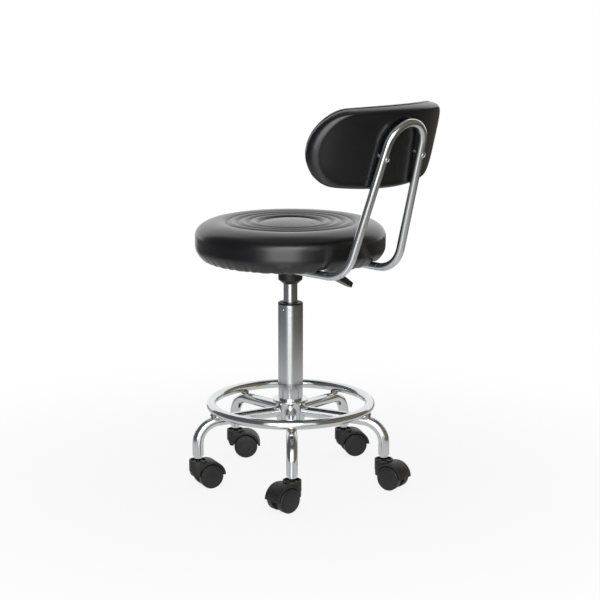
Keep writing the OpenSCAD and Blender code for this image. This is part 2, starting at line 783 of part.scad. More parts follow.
module tee_nuts() {
    color(steel_tone) {
        seat_bolt_places() translate([0, 0, board_z + fit_gap]) tee_nut(board_t - fit_gap);
        tube_bolt_places() translate([0, 0, board_z + fit_gap]) tee_nut(board_t - fit_gap);
        at_back_screws() translate([0, 0, back_tube_d / 2 + fit_gap]) tee_nut(back_nut_l);
    }
}

// Back tube
module in_corner_frame() {
    translate([0, back_corner_y, tube_z]) rotate([-back_lean, 0, 0]) children();
}

module back_tube_side(d, past) {
    corner_run = back_corner_y - tube_end_y;
    side_path = [[-corner_run, 0], [0, 0], leg_run * unit(bend_turn)];
    translate([half_span, back_corner_y, tube_z]) rotate([0, -bend_roll, 0]) rotate([90, 0, 90])
        bent_bar(side_path, back_bend_r, d, past, bend_lap);
}

module back_tube_bar(d, past) {
    back_tube_side(d, past);
    mirror([1, 0, 0]) back_tube_side(d, past);
    in_corner_frame() translate([0, 0, arch_up]) rotate([90, 0, 0]) rotate(leg_lean_in)
        rotate_extrude(angle = 180 - 2 * leg_lean_in) translate([arch_r, 0]) circle(d = d - bend_thinning);
}

module back_tube() {
    color(chrome_tone) difference() {
        back_tube_bar(back_tube_d, 0);
        back_tube_bar(tube_bore_d, reach_past);
        tube_bolt_places() translate([0, 0, tube_z]) cylinder(d = bolt_hole_d, h = back_tube_d);
        tube_bolt_places() translate([0, 0, tube_z - back_tube_d])
            cylinder(d = access_hole_d, h = back_tube_d);
        at_back_screws() translate([0, 0, -back_tube_d]) cylinder(d = bolt_hole_d, h = 2 * back_tube_d);
    }
}

module tube_plugs() {
    color(black_plastic) for (x = [-half_span, half_span])
        translate([x, tube_end_y, tube_z]) rotate([-90, 0, 0]) {
            cylinder(d = tube_bore_d - 2 * fit_gap, h = plug_l);
            translate([0, 0, -plug_head_t]) cylinder(d = back_tube_d, h = plug_head_t);
        }
}

// Children at the two screws: +Z points forward, square to the tube, from its centre line
module at_back_screws() {
    for (x = [-screw_x, screw_x]) in_corner_frame() translate([x, 0, screw_up]) rotate([90, 0, 0]) children();
}

module back_screws() {
    color(steel_tone) at_back_screws() translate([0, 0, -back_tube_d / 2 - fit_gap])
        pan_bolt(screw_head_d, screw_head_h, back_tube_d + back_nut_l);
}

// Backrest
module in_pad_frame() {
    in_corner_frame() translate([0, -back_tube_d / 2 - pad_standoff, screw_up])
        rotate([pad_tip, 0, 0]) children();
}

// Outline at an inset from the rim, with the ends drawn in by a taper too: distance round the bow, and height.
// The ends are half circles, the lower edge is straight and the upper edge arches.
function outline(inset, taper) = let (r = pad_h / 2 - inset, flat = pad_w / 2 - pad_h / 2 - taper)
    [for (p = concat(
        [for (k = [0:end_steps]) [flat, 0] + r * unit(-90 + 180 * k / end_steps)],
        [for (k = [1:side_steps - 1]) [flat - 2 * flat * k / side_steps, r]],
        [for (k = [0:end_steps]) [-flat, 0] + r * unit(90 + 180 * k / end_steps)],
        [for (k = [1:side_steps - 1]) [2 * flat * k / side_steps - flat, -r]]))
        [p.x, p.y * (p.y > 0 ? arching(p.x) : 1)]];
function arching(x) = 1 + 2 * pad_arch / pad_h * (1 - (2 * x / pad_w) ^ 2);

// Ring of points at an inset and a depth in front of the rear face, on the bow
function bowed_ring(inset, depth, taper = 0) = [for (p = outline(inset, taper))
    let (a = p.x / pad_bow_r * 180 / PI)
    [(pad_bow_r - depth) * sin(a), pad_axis_y + (pad_bow_r - depth) * cos(a), pad_rise + p.y]];

// Solid through a list of rings, closed at both ends by a strip across the outline
function across(i) = (end_steps - i + ring_points) % ring_points;
function strip(base, flip) = [for (k = [0:ring_points / 2 - 1]) let (i = end_steps / 2 + k, j = i + 1)
    for (f = [[i, j, across(j)], [i, across(j), across(i)]])
        if (f[0] != f[1] && f[1] != f[2] && f[0] != f[2])
            flip ? [base + f[2], base + f[1], base + f[0]] : [base + f[0], base + f[1], base + f[2]]];
module ring_solid(rings) {
    last = len(rings) - 1;
    walls = [for (k = [0:last - 1], i = [0:ring_points - 1])
        let (a = k * ring_points + i, b = k * ring_points + (i + 1) % ring_points)
        for (f = [[a, b, b + ring_points], [a, b + ring_points, a + ring_points]]) f];
    polyhedron(points = [for (ring = rings) each ring],
        faces = concat(strip(0, true), walls, strip(last * ring_points, false)));
}

module back_cushion() {
    floor_rings = [for (k = [panel_steps:-1:0])
        let (inset = recess_inset + (inner_inset - recess_inset) * k / panel_steps)
        bowed_ring(inset, recess_t, pad_rear_taper)];
    border_ring = bowed_ring(recess_inset, 0, pad_rear_taper);
    rim_rings = [for (k = [0:rim_steps])
        let (a = 90 - 180 * k / rim_steps, rear = a > 0,
            edge = rear ? pad_rear_edge : pad_edge, taper = rear ? pad_rear_taper : 0,
            half_t = rear ? pad_widest : pad_t - pad_widest, drawn_in = 1 - cos(a))
        bowed_ring(edge * drawn_in, pad_widest - half_t * sin(a), taper * drawn_in)];
    crown_rings = [for (k = [1:crown_steps]) let (part = k / crown_steps)
        bowed_ring(pad_edge + (inner_inset - pad_edge) * part, pad_t + pad_crown * sin(90 * part))];
    color(black_vinyl) in_pad_frame()
        ring_solid(concat(floor_rings, [border_ring], rim_rings, crown_rings));
}

// Bowed panel between two depths
module bowed_panel(from, to) {
    insets = [for (k = [0:panel_steps]) panel_inset + (inner_inset - panel_inset) * k / panel_steps];
    ring_solid(concat([for (k = [panel_steps:-1:0]) bowed_ring(insets[k], from, pad_rear_taper)],
        [for (k = [0:panel_steps]) bowed_ring(insets[k], to, pad_rear_taper)]));
}

module back_board() {
    board_from = pad_cover_t + soft_gap;
    flange_low = back_tube_d / 2 + back_nut_l - nut_flange_t - nut_play;
    color(plywood_tone) difference() {
        in_pad_frame() bowed_panel(board_from, board_from + pad_board_t);
        at_back_screws() cylinder(d = nut_barrel_d + 2 * nut_play, h = pad_t);
        at_back_screws() translate([0, 0, flange_low]) cylinder(d = nut_flange_d + 2 * nut_play, h = pad_t);
    }
}

module back_cover() {
    color(black_vinyl) difference() {
        in_pad_frame() bowed_panel(0, pad_cover_t);
        at_back_screws() cylinder(d = nut_barrel_d + 2 * nut_play, h = pad_t);
    }
}

// Lever
module lever_rod() {
    color(steel_tone) mirror([1, 0, 0]) difference() {
        union() {
            rotate([90, 0, 0]) bent_bar(lever_path, lever_bend_r, lever_d);
            translate([lever_pivot_x, lever_barrel_w / 2, lever_z]) rotate([90, 0, 0])
                cylinder(d = lever_barrel_d, h = lever_barrel_w);
        }
        translate([lever_pivot_x, lever_barrel_w, lever_z]) rotate([90, 0, 0])
            cylinder(d = lever_pin_d + 2 * fit_gap, h = 2 * lever_barrel_w);
    }
}

module lever_pin() {
    pin_half = lever_barrel_w / 2 + soft_gap + lug_t;
    color(steel_tone) translate([-lever_pivot_x, 0, lever_z]) rotate([90, 0, 0]) {
        translate([0, 0, -pin_half]) cylinder(d = lever_pin_d, h = 2 * pin_half);
        for (z = [-pin_half - pin_head_t, pin_half]) translate([0, 0, z])
            cylinder(d = pin_head_d, h = pin_head_t);
    }
}

// Flat grip: plan outline and side outline cut from each other, with a bore for the rod
module lever_paddle() {
    neck_w = lever_d + 5;
    tip_r = paddle_w / 2 - 3;
    grip_wall = 3;
    tip_share = 0.7;
    root_t = lever_d + 2 * grip_wall;
    tip_t = root_t * tip_share;
    bore_l = rod_in_paddle / cos(lever_droop) + end_gap;
    color(black_plastic) mirror([1, 0, 0]) translate([paddle_root_x, 0, lever_line(paddle_root_x)])
        rotate([0, lever_droop, 0]) difference() {
            intersection() {
                translate([0, 0, -root_t]) linear_extrude(2 * root_t) union() {
                    polygon([[0, -neck_w / 2], [paddle_l / 2, -paddle_w / 2], [paddle_l - tip_r, -tip_r],
                        [paddle_l - tip_r, tip_r], [paddle_l / 2, paddle_w / 2], [0, neck_w / 2]]);
                    translate([paddle_l - tip_r, 0]) circle(tip_r);
                }
                rotate([90, 0, 0]) translate([0, 0, -paddle_w]) linear_extrude(2 * paddle_w)
                    polygon([[0, -root_t / 2], [paddle_l / 2, -root_t / 2], [paddle_l, -tip_t / 2],
                        [paddle_l, tip_t / 2], [paddle_l / 2, root_t / 2], [0, root_t / 2]]);
            }
            translate([-reach_past, 0, 0]) rotate([0, 90, 0])
                cylinder(d = lever_d + 2 * fit_gap, h = bore_l + reach_past);
        }
}

// Casters
// Hood before the wheel wells are cut: in front of the stem only the boss is left
module hood_shape() {
    difference() {
        hull() {
            translate([0, 0, boss_toe_z]) cylinder(d = boss_toe_d, h = boss_skin, $fn = 32);
            translate([0, 0, boss_foot_z])
                cylinder(d = boss_d - 2 * boss_skin, h = boss_top_z - boss_neck - boss_foot_z, $fn = 32);
            translate([caster_trail, hood_half_w, axle_z]) rotate([90, 0, 0])
                cylinder(r = hood_r, h = 2 * hood_half_w, $fn = 64);
        }
        difference() {
            translate([-wheel_d, -wheel_d, -hood_r]) cube([wheel_d, 2 * wheel_d, 4 * hood_r]);
            translate([0, 0, -2 * hood_r]) cylinder(d = boss_d - boss_skin, h = 6 * hood_r);
        }
    }
    translate([0, 0, boss_foot_z]) cylinder(d = boss_d, h = boss_top_z - boss_foot_z);
}

module caster_hood(n) {
    well_r = wheel_d / 2 + wheel_gap;
    lip_z = axle_z + lip_rise;
    lug_d = axle_d + 2 * lug_wall;
    color(black_plastic) at_caster(n) difference() {
        hood_shape();
        for (side = [-1, 1]) translate([caster_trail, side * (web_t / 2 + wheel_w), axle_z])
            rotate([90, 0, 0]) cylinder(r = well_r, h = 2 * wheel_w, center = true);
        difference() {
            translate([-wheel_d, -wheel_d, -hood_r]) cube([3 * wheel_d, 2 * wheel_d, lip_z + hood_r]);
            translate([caster_trail, 0, axle_z]) rotate([90, 0, 0]) cylinder(d = lug_d, h = web_t, center = true);
        }
        translate([caster_trail, web_t, axle_z]) rotate([90, 0, 0])
            cylinder(d = axle_d + 2 * fit_gap, h = 2 * web_t);
        translate([0, 0, stem_low_z]) cylinder(d = stem_d + 2 * fit_gap, h = boss_top_z);
        translate([0, 0, boss_top_z - boss_cup]) cylinder(d = boss_d - 2 * boss_wall, h = boss_top_z);
    }
}

module caster_axle(n) {
    color(steel_tone) at_caster(n) translate([caster_trail, axle_half, axle_z]) rotate([90, 0, 0])
        cylinder(d = axle_d, h = 2 * axle_half);
}

// Wheel with a rounded tread and a slightly domed outer face: side is 1 or -1
module caster_wheel(n, side) {
    bore_r = axle_d / 2 + fit_gap;
    tread_r = 2;
    face_inset = 3;
    face_step = 1;
    dome = 1.5;
    r = wheel_d / 2;
    color(black_plastic) at_caster(n) translate([caster_trail, 0, axle_z]) rotate([-90 * side, 0, 0])
        rotate_extrude() polygon(concat(
            [[0, axle_half + end_gap], [bore_r, axle_half + end_gap], [bore_r, wheel_inner_y],
                [r - tread_r, wheel_inner_y]],
            arc(r - tread_r, wheel_inner_y + tread_r, tread_r, tread_r, -60, 0, 3),
            arc(r - tread_r, wheel_outer_y - tread_r - face_step, tread_r, tread_r, 0, 75, 4),
            [[r - face_inset, wheel_outer_y - face_step], [r - face_inset, wheel_outer_y - face_step / 2]],
            arc(0, wheel_outer_y - face_step / 2, r - face_inset - 1, dome, 15, 90, 6)));
}

base_hub();
leg(1);  // leg_1
leg(2);  // leg_2
leg(3);  // leg_3
leg(4);  // leg_4
leg(5);  // leg_5
footrest_ring();
ring_posts();
leg_sockets();
caster_stems();
grip_rings();
column_tube();
guide_sleeve();
bearing_washer_lower();
thrust_bearing();
bearing_washer_upper();
bumper();
piston_rod();
piston();
retaining_clip();
gas_cylinder();
cylinder_gland();
seat_plate();
plate_socket();
seat_board();
seat_cushion();
dust_cover();
plate_screws();
tube_bolts();
tee_nuts();
back_tube();
tube_plugs();
back_cushion();
back_board();
back_cover();
back_screws();
lever_pin();
lever_rod();
lever_paddle();
valve_pin();
caster_hood(1);  // caster_hood_1
caster_hood(2);  // caster_hood_2
caster_hood(3);  // caster_hood_3
caster_hood(4);  // caster_hood_4
caster_hood(5);  // caster_hood_5
caster_axle(1);  // caster_axle_1
caster_axle(2);  // caster_axle_2
caster_axle(3);  // caster_axle_3
caster_axle(4);  // caster_axle_4
caster_axle(5);  // caster_axle_5
caster_wheel(1, 1);  // caster_wheel_1a
caster_wheel(1, -1);  // caster_wheel_1b
caster_wheel(2, 1);  // caster_wheel_2a
caster_wheel(2, -1);  // caster_wheel_2b
caster_wheel(3, 1);  // caster_wheel_3a
caster_wheel(3, -1);  // caster_wheel_3b
caster_wheel(4, 1);  // caster_wheel_4a
caster_wheel(4, -1);  // caster_wheel_4b
caster_wheel(5, 1);  // caster_wheel_5a
caster_wheel(5, -1);  // caster_wheel_5b
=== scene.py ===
import json
import math
import random

import bmesh
import bpy
from mathutils import Matrix, Vector, noise


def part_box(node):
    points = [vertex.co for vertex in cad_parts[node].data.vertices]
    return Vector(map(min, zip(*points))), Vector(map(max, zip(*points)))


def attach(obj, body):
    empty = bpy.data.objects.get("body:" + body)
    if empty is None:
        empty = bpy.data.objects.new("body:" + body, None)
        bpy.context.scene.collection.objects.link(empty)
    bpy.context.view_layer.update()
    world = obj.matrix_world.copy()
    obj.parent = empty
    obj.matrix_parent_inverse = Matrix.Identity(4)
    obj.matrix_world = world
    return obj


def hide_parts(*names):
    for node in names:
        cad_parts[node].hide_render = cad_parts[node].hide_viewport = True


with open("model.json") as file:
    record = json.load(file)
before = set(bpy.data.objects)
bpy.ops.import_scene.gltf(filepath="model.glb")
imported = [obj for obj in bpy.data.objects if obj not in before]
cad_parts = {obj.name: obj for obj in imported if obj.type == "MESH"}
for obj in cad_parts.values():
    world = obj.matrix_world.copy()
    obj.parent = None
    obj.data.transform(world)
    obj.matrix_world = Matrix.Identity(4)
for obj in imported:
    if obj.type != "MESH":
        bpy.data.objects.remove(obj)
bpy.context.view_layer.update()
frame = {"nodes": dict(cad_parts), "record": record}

bl_info = {
    "name": "Rolling stylist stool",
    "version": (1, 0, 0),
    "blender": (4, 5, 0),
    "location": "3D View > Sidebar > Stool",
    "description": "Upholstery, finishes and studio for a rolling stool with a backrest",
    "category": "Object",
}

MM = 0.001
SWELL_FRAMES = 20
FILL_PRESSURE = 4
# Foot of the back tube's sloping legs, and the pad's screws on them
TUBE_CORNER = Vector((0, 218, 446.7)) * MM
SCREW_X = 48.6 * MM
SCREW_UP = 242 * MM


# Sizes and colours

def linear(hex_colour):
    """Linear red, green and blue of an sRGB hex colour."""
    shares = [int(hex_colour[i:i + 2], 16) / 255 for i in (1, 3, 5)]
    return tuple(s / 12.92 if s <= 0.04045 else ((s + 0.055) / 1.055) ** 2.4 for s in shares)


def length(name, description, default_mm):
    """Property for a size, given in millimetres and kept in metres."""
    return bpy.props.FloatProperty(
        name=name, description=description, default=default_mm * MM, unit="LENGTH", precision=4)


def angle(name, description, default_degrees):
    """Property for an angle, given in degrees."""
    return bpy.props.FloatProperty(
        name=name, description=description, default=math.radians(default_degrees), unit="ROTATION")


def colour(name, description, default_hex):
    """Property for a colour, given as sRGB hex."""
    return bpy.props.FloatVectorProperty(
        name=name, description=description, default=linear(default_hex), subtype="COLOR", min=0, max=1)


class StoolSeatSizes(bpy.types.PropertyGroup):
    """Sizes of the seat's upholstery"""
    slack: length("Slack", "How much smaller the cover is before it swells", 1.5)
    shoulder_height: length("Shoulder height", "Height of the rounded shoulder", 29)
    shoulder_width: length("Shoulder width", "Width of the rounded shoulder", 45)
    foot_radius: length("Foot radius", "Rounding of the lower edge", 22)
    dome_radius: length("Dome radius", "Radius of the centre disc", 63)
    rib_width: length("Rib width", "Width of each sewn ring", 21)
    channel_depth: length("Channel depth", "Depth of the sewn channels", 6)
    swell: length("Swell", "Furthest that the filling pushes the cover", 3)
    pleat_depth: length("Pleat depth", "Depth of the gathers round the lower edge", 3.4)
    bulge: length("Bulge", "How far the folded cover hangs below the board's edge", 5.5)
    tube_x: length("Tube distance", "Distance of the back tube's legs from the middle", 69)
    tube_width: length("Tube width", "Width of the back tube, which presses the bulge flat", 16)


class StoolBackSizes(bpy.types.PropertyGroup):
    """Sizes of the backrest's upholstery"""
    width: length("Width", "Width round the bow", 386)
    height: length("Height", "Height at the ends", 136)
    arch: length("Arch", "Rise of the upper edge", 24)
    thickness: length("Thickness", "Thickness at the rim", 42)
    crown: length("Crown", "Rise of the front above its rim", 5)
    bow_radius: length("Bow radius", "Radius of the rear face", 253)
    front_edge: length("Front edge", "Rounding of the front rim", 20)
    rear_edge: length("Rear edge", "Rounding of the rear rim", 7)
    rear_taper: length("Rear taper", "Extra distance of the rear panel from the pad's ends", 15)
    rear_lift: length("Rear lift", "How far the rear panel sits above the pad's middle", 3)
    ridge: length("Ridge", "How far the rear panel's edge stands proud", 0.4)
    widest: length("Widest depth", "Depth at which the rim is widest", 21)
    slack: length("Slack", "How much smaller the cover is before it swells", 1)
    swell: length("Swell", "Furthest that the filling pushes the cover", 4)
    seam: length("Seam", "Depth of the seam between the rear shell and the cushion", 3)
    pleat_depth: length("Pleat depth", "Depth of the gathers round the ends", 1.2)
    lean: angle("Lean", "Lean of the back tube", 17.8)
    tip: angle("Tip", "Tip of the pad against the tube", 3)


class StoolColours(bpy.types.PropertyGroup):
    """Colours of the stool's materials"""
    leather: colour("Leather", "PU leather of the seat and the back", "#0e0e12")
    chrome: colour("Chrome", "Chrome plate of the tubes", "#dfe0e1")
    zinc: colour("Zinc", "Zinc plate of the screws", "#bcc2c9")
    weld: colour("Weld", "Plated weld beads", "#a39a8c")
    paint: colour("Paint", "Powder coat of the seat plate", "#1a1a1b")
    plastic: colour("Plastic", "Moulded grip and plugs", "#1d1d1e")
    hood: colour("Hood", "Moulded caster hoods", "#1f1e1d")
    wheel: colour("Wheel", "Moulded caster wheels", "#1d1d1f")
    cloth: colour("Cloth", "Cloth under the seat", "#1f1f20")
    wood: colour("Wood", "Plywood of the boards", "#b08a5a")
    rubber: colour("Rubber", "Rubber stop", "#151515")
    floor: colour("Floor", "Studio floor", "#f4f4f4")


# Materials

def add_node(material, kind, inputs=None, **settings):
    """Adds a node with its settings. Each input gets a value, or another node's output to link to."""
    node = material.node_tree.nodes.new(kind)
    for name, value in settings.items():
        setattr(node, name, value)
    for name, value in (inputs or {}).items():
        if isinstance(value, bpy.types.NodeSocket):
            material.node_tree.links.new(value, node.inputs[name])
        else:
            node.inputs[name].default_value = value
    return node


def per_metre(millimetres):
    """Texture scale whose pattern repeats at a real size."""
    return 1 / (millimetres * MM)


def tinted(rgb, share):
    """A colour made lighter or darker by a share, with full alpha."""
    return (*[min(1, c * share) for c in rgb], 1)


def surface(name, rgb, tones, tone_mm, rough, grain_mm, grain_height_mm,
            metallic=0.0, pebbled=False, coat=0.0):
    """A material whose tone and gloss drift over tone_mm and whose surface has a grain of grain_mm."""
    material = bpy.data.materials.new(name)
    material.use_nodes = True
    material.node_tree.nodes.clear()
    place = add_node(material, "ShaderNodeTexCoord").outputs["Object"]
    drift = add_node(material, "ShaderNodeTexNoise",
                     {"Vector": place, "Scale": per_metre(tone_mm), "Detail": 4.0}).outputs[0]
    tone = add_node(material, "ShaderNodeMix",
                    {0: drift, 6: tinted(rgb, tones[0]), 7: tinted(rgb, tones[1])}, data_type="RGBA")
    gloss = add_node(material, "ShaderNodeMapRange",
                     {"Value": drift, "From Min": 0.3, "From Max": 0.7,
                      "To Min": rough[0], "To Max": rough[1]})
    if pebbled:
        grain = add_node(material, "ShaderNodeTexVoronoi",
                         {"Vector": place, "Scale": per_metre(grain_mm)}, feature="SMOOTH_F1").outputs[0]
    else:
        grain = add_node(material, "ShaderNodeTexNoise",
                         {"Vector": place, "Scale": per_metre(grain_mm), "Detail": 3.0}).outputs[0]
    bump = add_node(material, "ShaderNodeBump",
                    {"Height": grain, "Strength": 0.6, "Distance": grain_height_mm * MM})
    shader = add_node(material, "ShaderNodeBsdfPrincipled",
                      {"Base Color": tone.outputs[2], "Roughness": gloss.outputs[0],
                       "Normal": bump.outputs[0], "Metallic": metallic,
                       "Coat Weight": coat, "Coat Roughness": 0.24})
    add_node(material, "ShaderNodeOutputMaterial", {"Surface": shader.outputs[0]})
    return material


def make_finishes(colours):
    """The stool's materials by the record's material slot."""
    return {
        # PU leather, embossed with a pebble grain under a clear top coat: satin black, broad highlight.
        # The real grain of half a millimetre is drawn three times as coarse, so that it shows.
        "black_vinyl": surface("pu_leather", colours.leather, (0.85, 1.2), 60, (0.27, 0.33), 1.6, 0.022,
                               pebbled=True, coat=0.4),
        # Chrome plate on drawn steel tube: a mirror with a faint polishing haze
        "chrome": surface("chrome_plate", colours.chrome, (0.97, 1.02), 25, (0.12, 0.17), 6, 0.002, 1.0),
        # Zinc plate: pale bluish metal, finely etched
        "zinc_steel": surface("zinc_plate", colours.zinc, (0.9, 1.05), 5, (0.22, 0.34), 0.8, 0.01, 1.0),
        # Plated weld metal: duller and slightly brown, with ripples
        "weld_steel": surface("plated_weld", colours.weld, (0.75, 1.1), 4, (0.25, 0.42), 1.5, 0.08, 1.0),
        # Powder coat: half matt black with a fine orange peel
        "black_paint": surface("powder_coat", colours.paint, (0.9, 1.15), 30, (0.42, 0.55), 1.2, 0.05),
        # Moulded polypropylene: half matt black with a spark-eroded grain
        "black_plastic": surface("moulded_polypropylene", colours.plastic, (0.9, 1.15), 20, (0.40, 0.52),
                                 0.9, 0.04),
        # Moulded nylon of the hoods: warm dark grey, worn dull
        "hood_plastic": surface("moulded_nylon", colours.hood, (0.85, 1.1), 12, (0.42, 0.58), 0.9, 0.05),
        # Moulded nylon of the wheels: a little bluer and smoother, with scuffs
        "wheel_plastic": surface("wheel_nylon", colours.wheel, (0.85, 1.12), 9, (0.36, 0.52), 0.8, 0.04),
        # Non-woven polypropylene cloth: matt black with pressed fibres
        "dust_cloth": surface("non_woven_cloth", colours.cloth, (0.8, 1.2), 3, (0.85, 0.95), 1.4, 0.12),
        # Birch plywood: pale brown with a long figure
        "plywood": surface("birch_plywood", colours.wood, (0.8, 1.1), 18, (0.55, 0.7), 2, 0.03),
        # Moulded rubber: matt black
        "rubber_stop": surface("moulded_rubber", colours.rubber, (0.9, 1.1), 8, (0.6, 0.75), 1, 0.03),
    }


def finish(slot):
    """The material of a slot, made with all the others when the first one is asked for."""
    if not finish.made:
        finish.made.update(make_finishes(bpy.context.scene.stool_colours))
    return finish.made[slot]


finish.made = {}


# Modelling

def only(piece):
    """Selects one object alone and makes it active."""
    bpy.ops.object.select_all(action="DESELECT")
    piece.select_set(True)
    bpy.context.view_layer.objects.active = piece


def add_object(name, mesh):
    """New object with that mesh, alone in the selection."""
    piece = bpy.data.objects.new(name, mesh)
    bpy.context.scene.collection.objects.link(piece)
    only(piece)
    return piece


def edit(piece, work):
    """Runs work in edit mode with everything selected."""
    only(piece)
    bpy.ops.object.mode_set(mode="EDIT")
    bpy.ops.mesh.select_all(action="SELECT")
    work()
    bpy.ops.object.mode_set(mode="OBJECT")


def apply_modifier(piece, kind, **settings):
    """Adds a modifier with its settings and applies it."""
    only(piece)
    modifier = piece.modifiers.new(kind.lower(), kind)
    for name, value in settings.items():
        setattr(modifier, name, value)
    bpy.ops.object.modifier_apply(modifier=modifier.name)


def smooth(piece, degrees):
    """Shades a piece smooth, apart from edges sharper than the angle."""
    only(piece)
    bpy.ops.object.shade_smooth_by_angle(angle=math.radians(degrees))


def dress(piece, body, slot, *nodes):
    """Gives a finished piece its material and its body, and hides the CAD nodes that it stands for."""
    piece.data.materials.clear()
    piece.data.materials.append(finish(slot))
    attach(piece, body)
    if nodes:
        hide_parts(*nodes)


def turned_arc(centre_r, centre_z, radius_r, radius_z, start, end, steps):
    """Points of an elliptic arc in a turned profile, angles in degrees."""
    angles = [math.radians(start + (end - start) * k / steps) for k in range(steps + 1)]
    return [(centre_r + radius_r * math.cos(a), centre_z + radius_z * math.sin(a)) for a in angles]


def skin(name, rings, first_cap, last_cap):
    """Closed cover through rings of points. The caps list the faces that close the two end rings."""
    count = len(rings[0])
    mesh = bpy.data.meshes.new(name)
    form = bmesh.new()
    points = [[form.verts.new(p) for p in ring] for ring in rings]
    for low, high in zip(points, points[1:]):
        for i in range(count):
            j = (i + 1) % count
            form.faces.new((low[i], low[j], high[j], high[i]))
    for ring, cap in ((points[0], first_cap), (points[-1], last_cap)):
        for corners in cap:
            form.faces.new([ring[i] for i in corners])
    bmesh.ops.recalc_face_normals(form, faces=form.faces)
    form.to_mesh(mesh)
    form.free()
    return add_object(name, mesh)


def strip_cap(count, shift):
    """Faces of a strip that closes an end ring. The shift is the sum of two facing points' numbers."""
    faces = []
    for i in range(shift // 2, shift // 2 + count // 2):
        corners = [i, i + 1, (shift - i - 1) % count, (shift - i) % count]
        faces.append([c for n, c in enumerate(corners) if c not in corners[:n]])
    return [f for f in faces if len(f) > 2]


def inflate(piece, sewn, pressure, reach):
    """Swells a cover by a cloth simulation that holds its sewn points, and limits how far a point moves."""
    rest = [point.co.copy() for point in piece.data.vertices]
    piece.vertex_groups.new(name="sewn").add(sewn, 1.0, "REPLACE")
    only(piece)
    modifier = piece.modifiers.new("swell", "CLOTH")
    cover = modifier.settings
    cover.quality = 6
    cover.vertex_group_mass = "sewn"
    cover.use_pressure = True
    cover.uniform_pressure_force = pressure
    cover.effector_weights.gravity = 0
    cover.tension_stiffness = 30
    cover.compression_stiffness = 30
    cover.shear_stiffness = 15
    cover.bending_stiffness = 2
    modifier.collision_settings.use_collision = False
    for step in range(1, SWELL_FRAMES + 1):
        bpy.context.scene.frame_set(step)
    bpy.ops.object.modifier_apply(modifier=modifier.name)
    bpy.context.scene.frame_set(1)
    for point, start in zip(piece.data.vertices, rest):
        move = point.co - start
        if move.length > 0:
            point.co = start + move.normalized() * reach * math.tanh(move.length / reach)
    piece.vertex_groups.clear()


def gathers(seed, spacing, spread):
    """Places along a length of 1 for gathers of uneven spacing, each with its own strength."""
    draw = random.Random(seed)
    places = []
    at = draw.uniform(0, spacing)
    while at < 1 - spacing / 2:
        places.append((at, draw.uniform(0.35, 1)))
        at += spacing * draw.uniform(1 - spread, 1 + spread)
    return places


def gather_at(places, at, width):
    """Depth of the gathers at a place along the length, from 0 to 1."""
    total = 0
    for place, strength in places:
        gap = abs(at - place)
        gap = min(gap, 1 - gap)
        total += strength * math.exp(-(gap / width) ** 2)
    return min(1, total)


# Seat

SEAT_SEGMENTS = 240
HEM_GATHERS = 54
# Distance beside a tube over which the cover's bulge comes back
BULGE_FADE = 7 * MM


def seat_profile(sizes):
    """Turned profile of the cover from the underside's centre to the top's, and the sewn rings' numbers."""
    low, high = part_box("seat_cushion")
    radius = high.x - sizes.slack
    foot_z = low.z
    crown_z = high.z - sizes.slack
    hem_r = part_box("dust_cover")[1].x + 0.3 * MM
    hem_z = foot_z + 1.3 * MM
    foot_r = sizes.foot_radius
    wall_top = crown_z - sizes.shoulder_height
    channel_z = crown_z - sizes.channel_depth
    ribs_r = sizes.dome_radius + 3 * sizes.rib_width
    crown_r = radius - sizes.shoulder_width
    underside = [(4 * MM, hem_z), (hem_r / 3, hem_z), (hem_r * 2 / 3, hem_z), (hem_r, hem_z),
                 (hem_r, foot_z + 0.4 * MM), (hem_r + 0.6 * MM, foot_z), (hem_r + 6 * MM, foot_z)]
    foot = turned_arc(radius - foot_r, foot_z + foot_r, foot_r, foot_r, -90, 0, 10)
    wall = [(radius, foot_z + foot_r + (wall_top - foot_z - foot_r) * k / 4) for k in (1, 2, 3)]
    shoulder = turned_arc(crown_r, wall_top, sizes.shoulder_width, sizes.shoulder_height, 0, 90, 16)
    outer = turned_arc(crown_r, channel_z, ribs_r - crown_r, sizes.channel_depth, 90, 0, 7)[1:]
    profile = underside + foot + wall + shoulder + outer
    sewn = list(range(len(underside) + 2)) + [len(profile) - 1]
    steps = 8
    for rib in (3, 2, 1):
        edge = sizes.dome_radius + sizes.rib_width * rib
        for k in range(1, steps + 1):
            rise = math.sin(math.pi * k / steps) ** 0.8 if k < steps else 0
            profile.append((edge - sizes.rib_width * k / steps, channel_z + sizes.channel_depth * rise))
        sewn.append(len(profile) - 1)
    profile += turned_arc(0, channel_z, sizes.dome_radius, sizes.channel_depth, 0, 86, 12)[1:]
    return profile, sewn


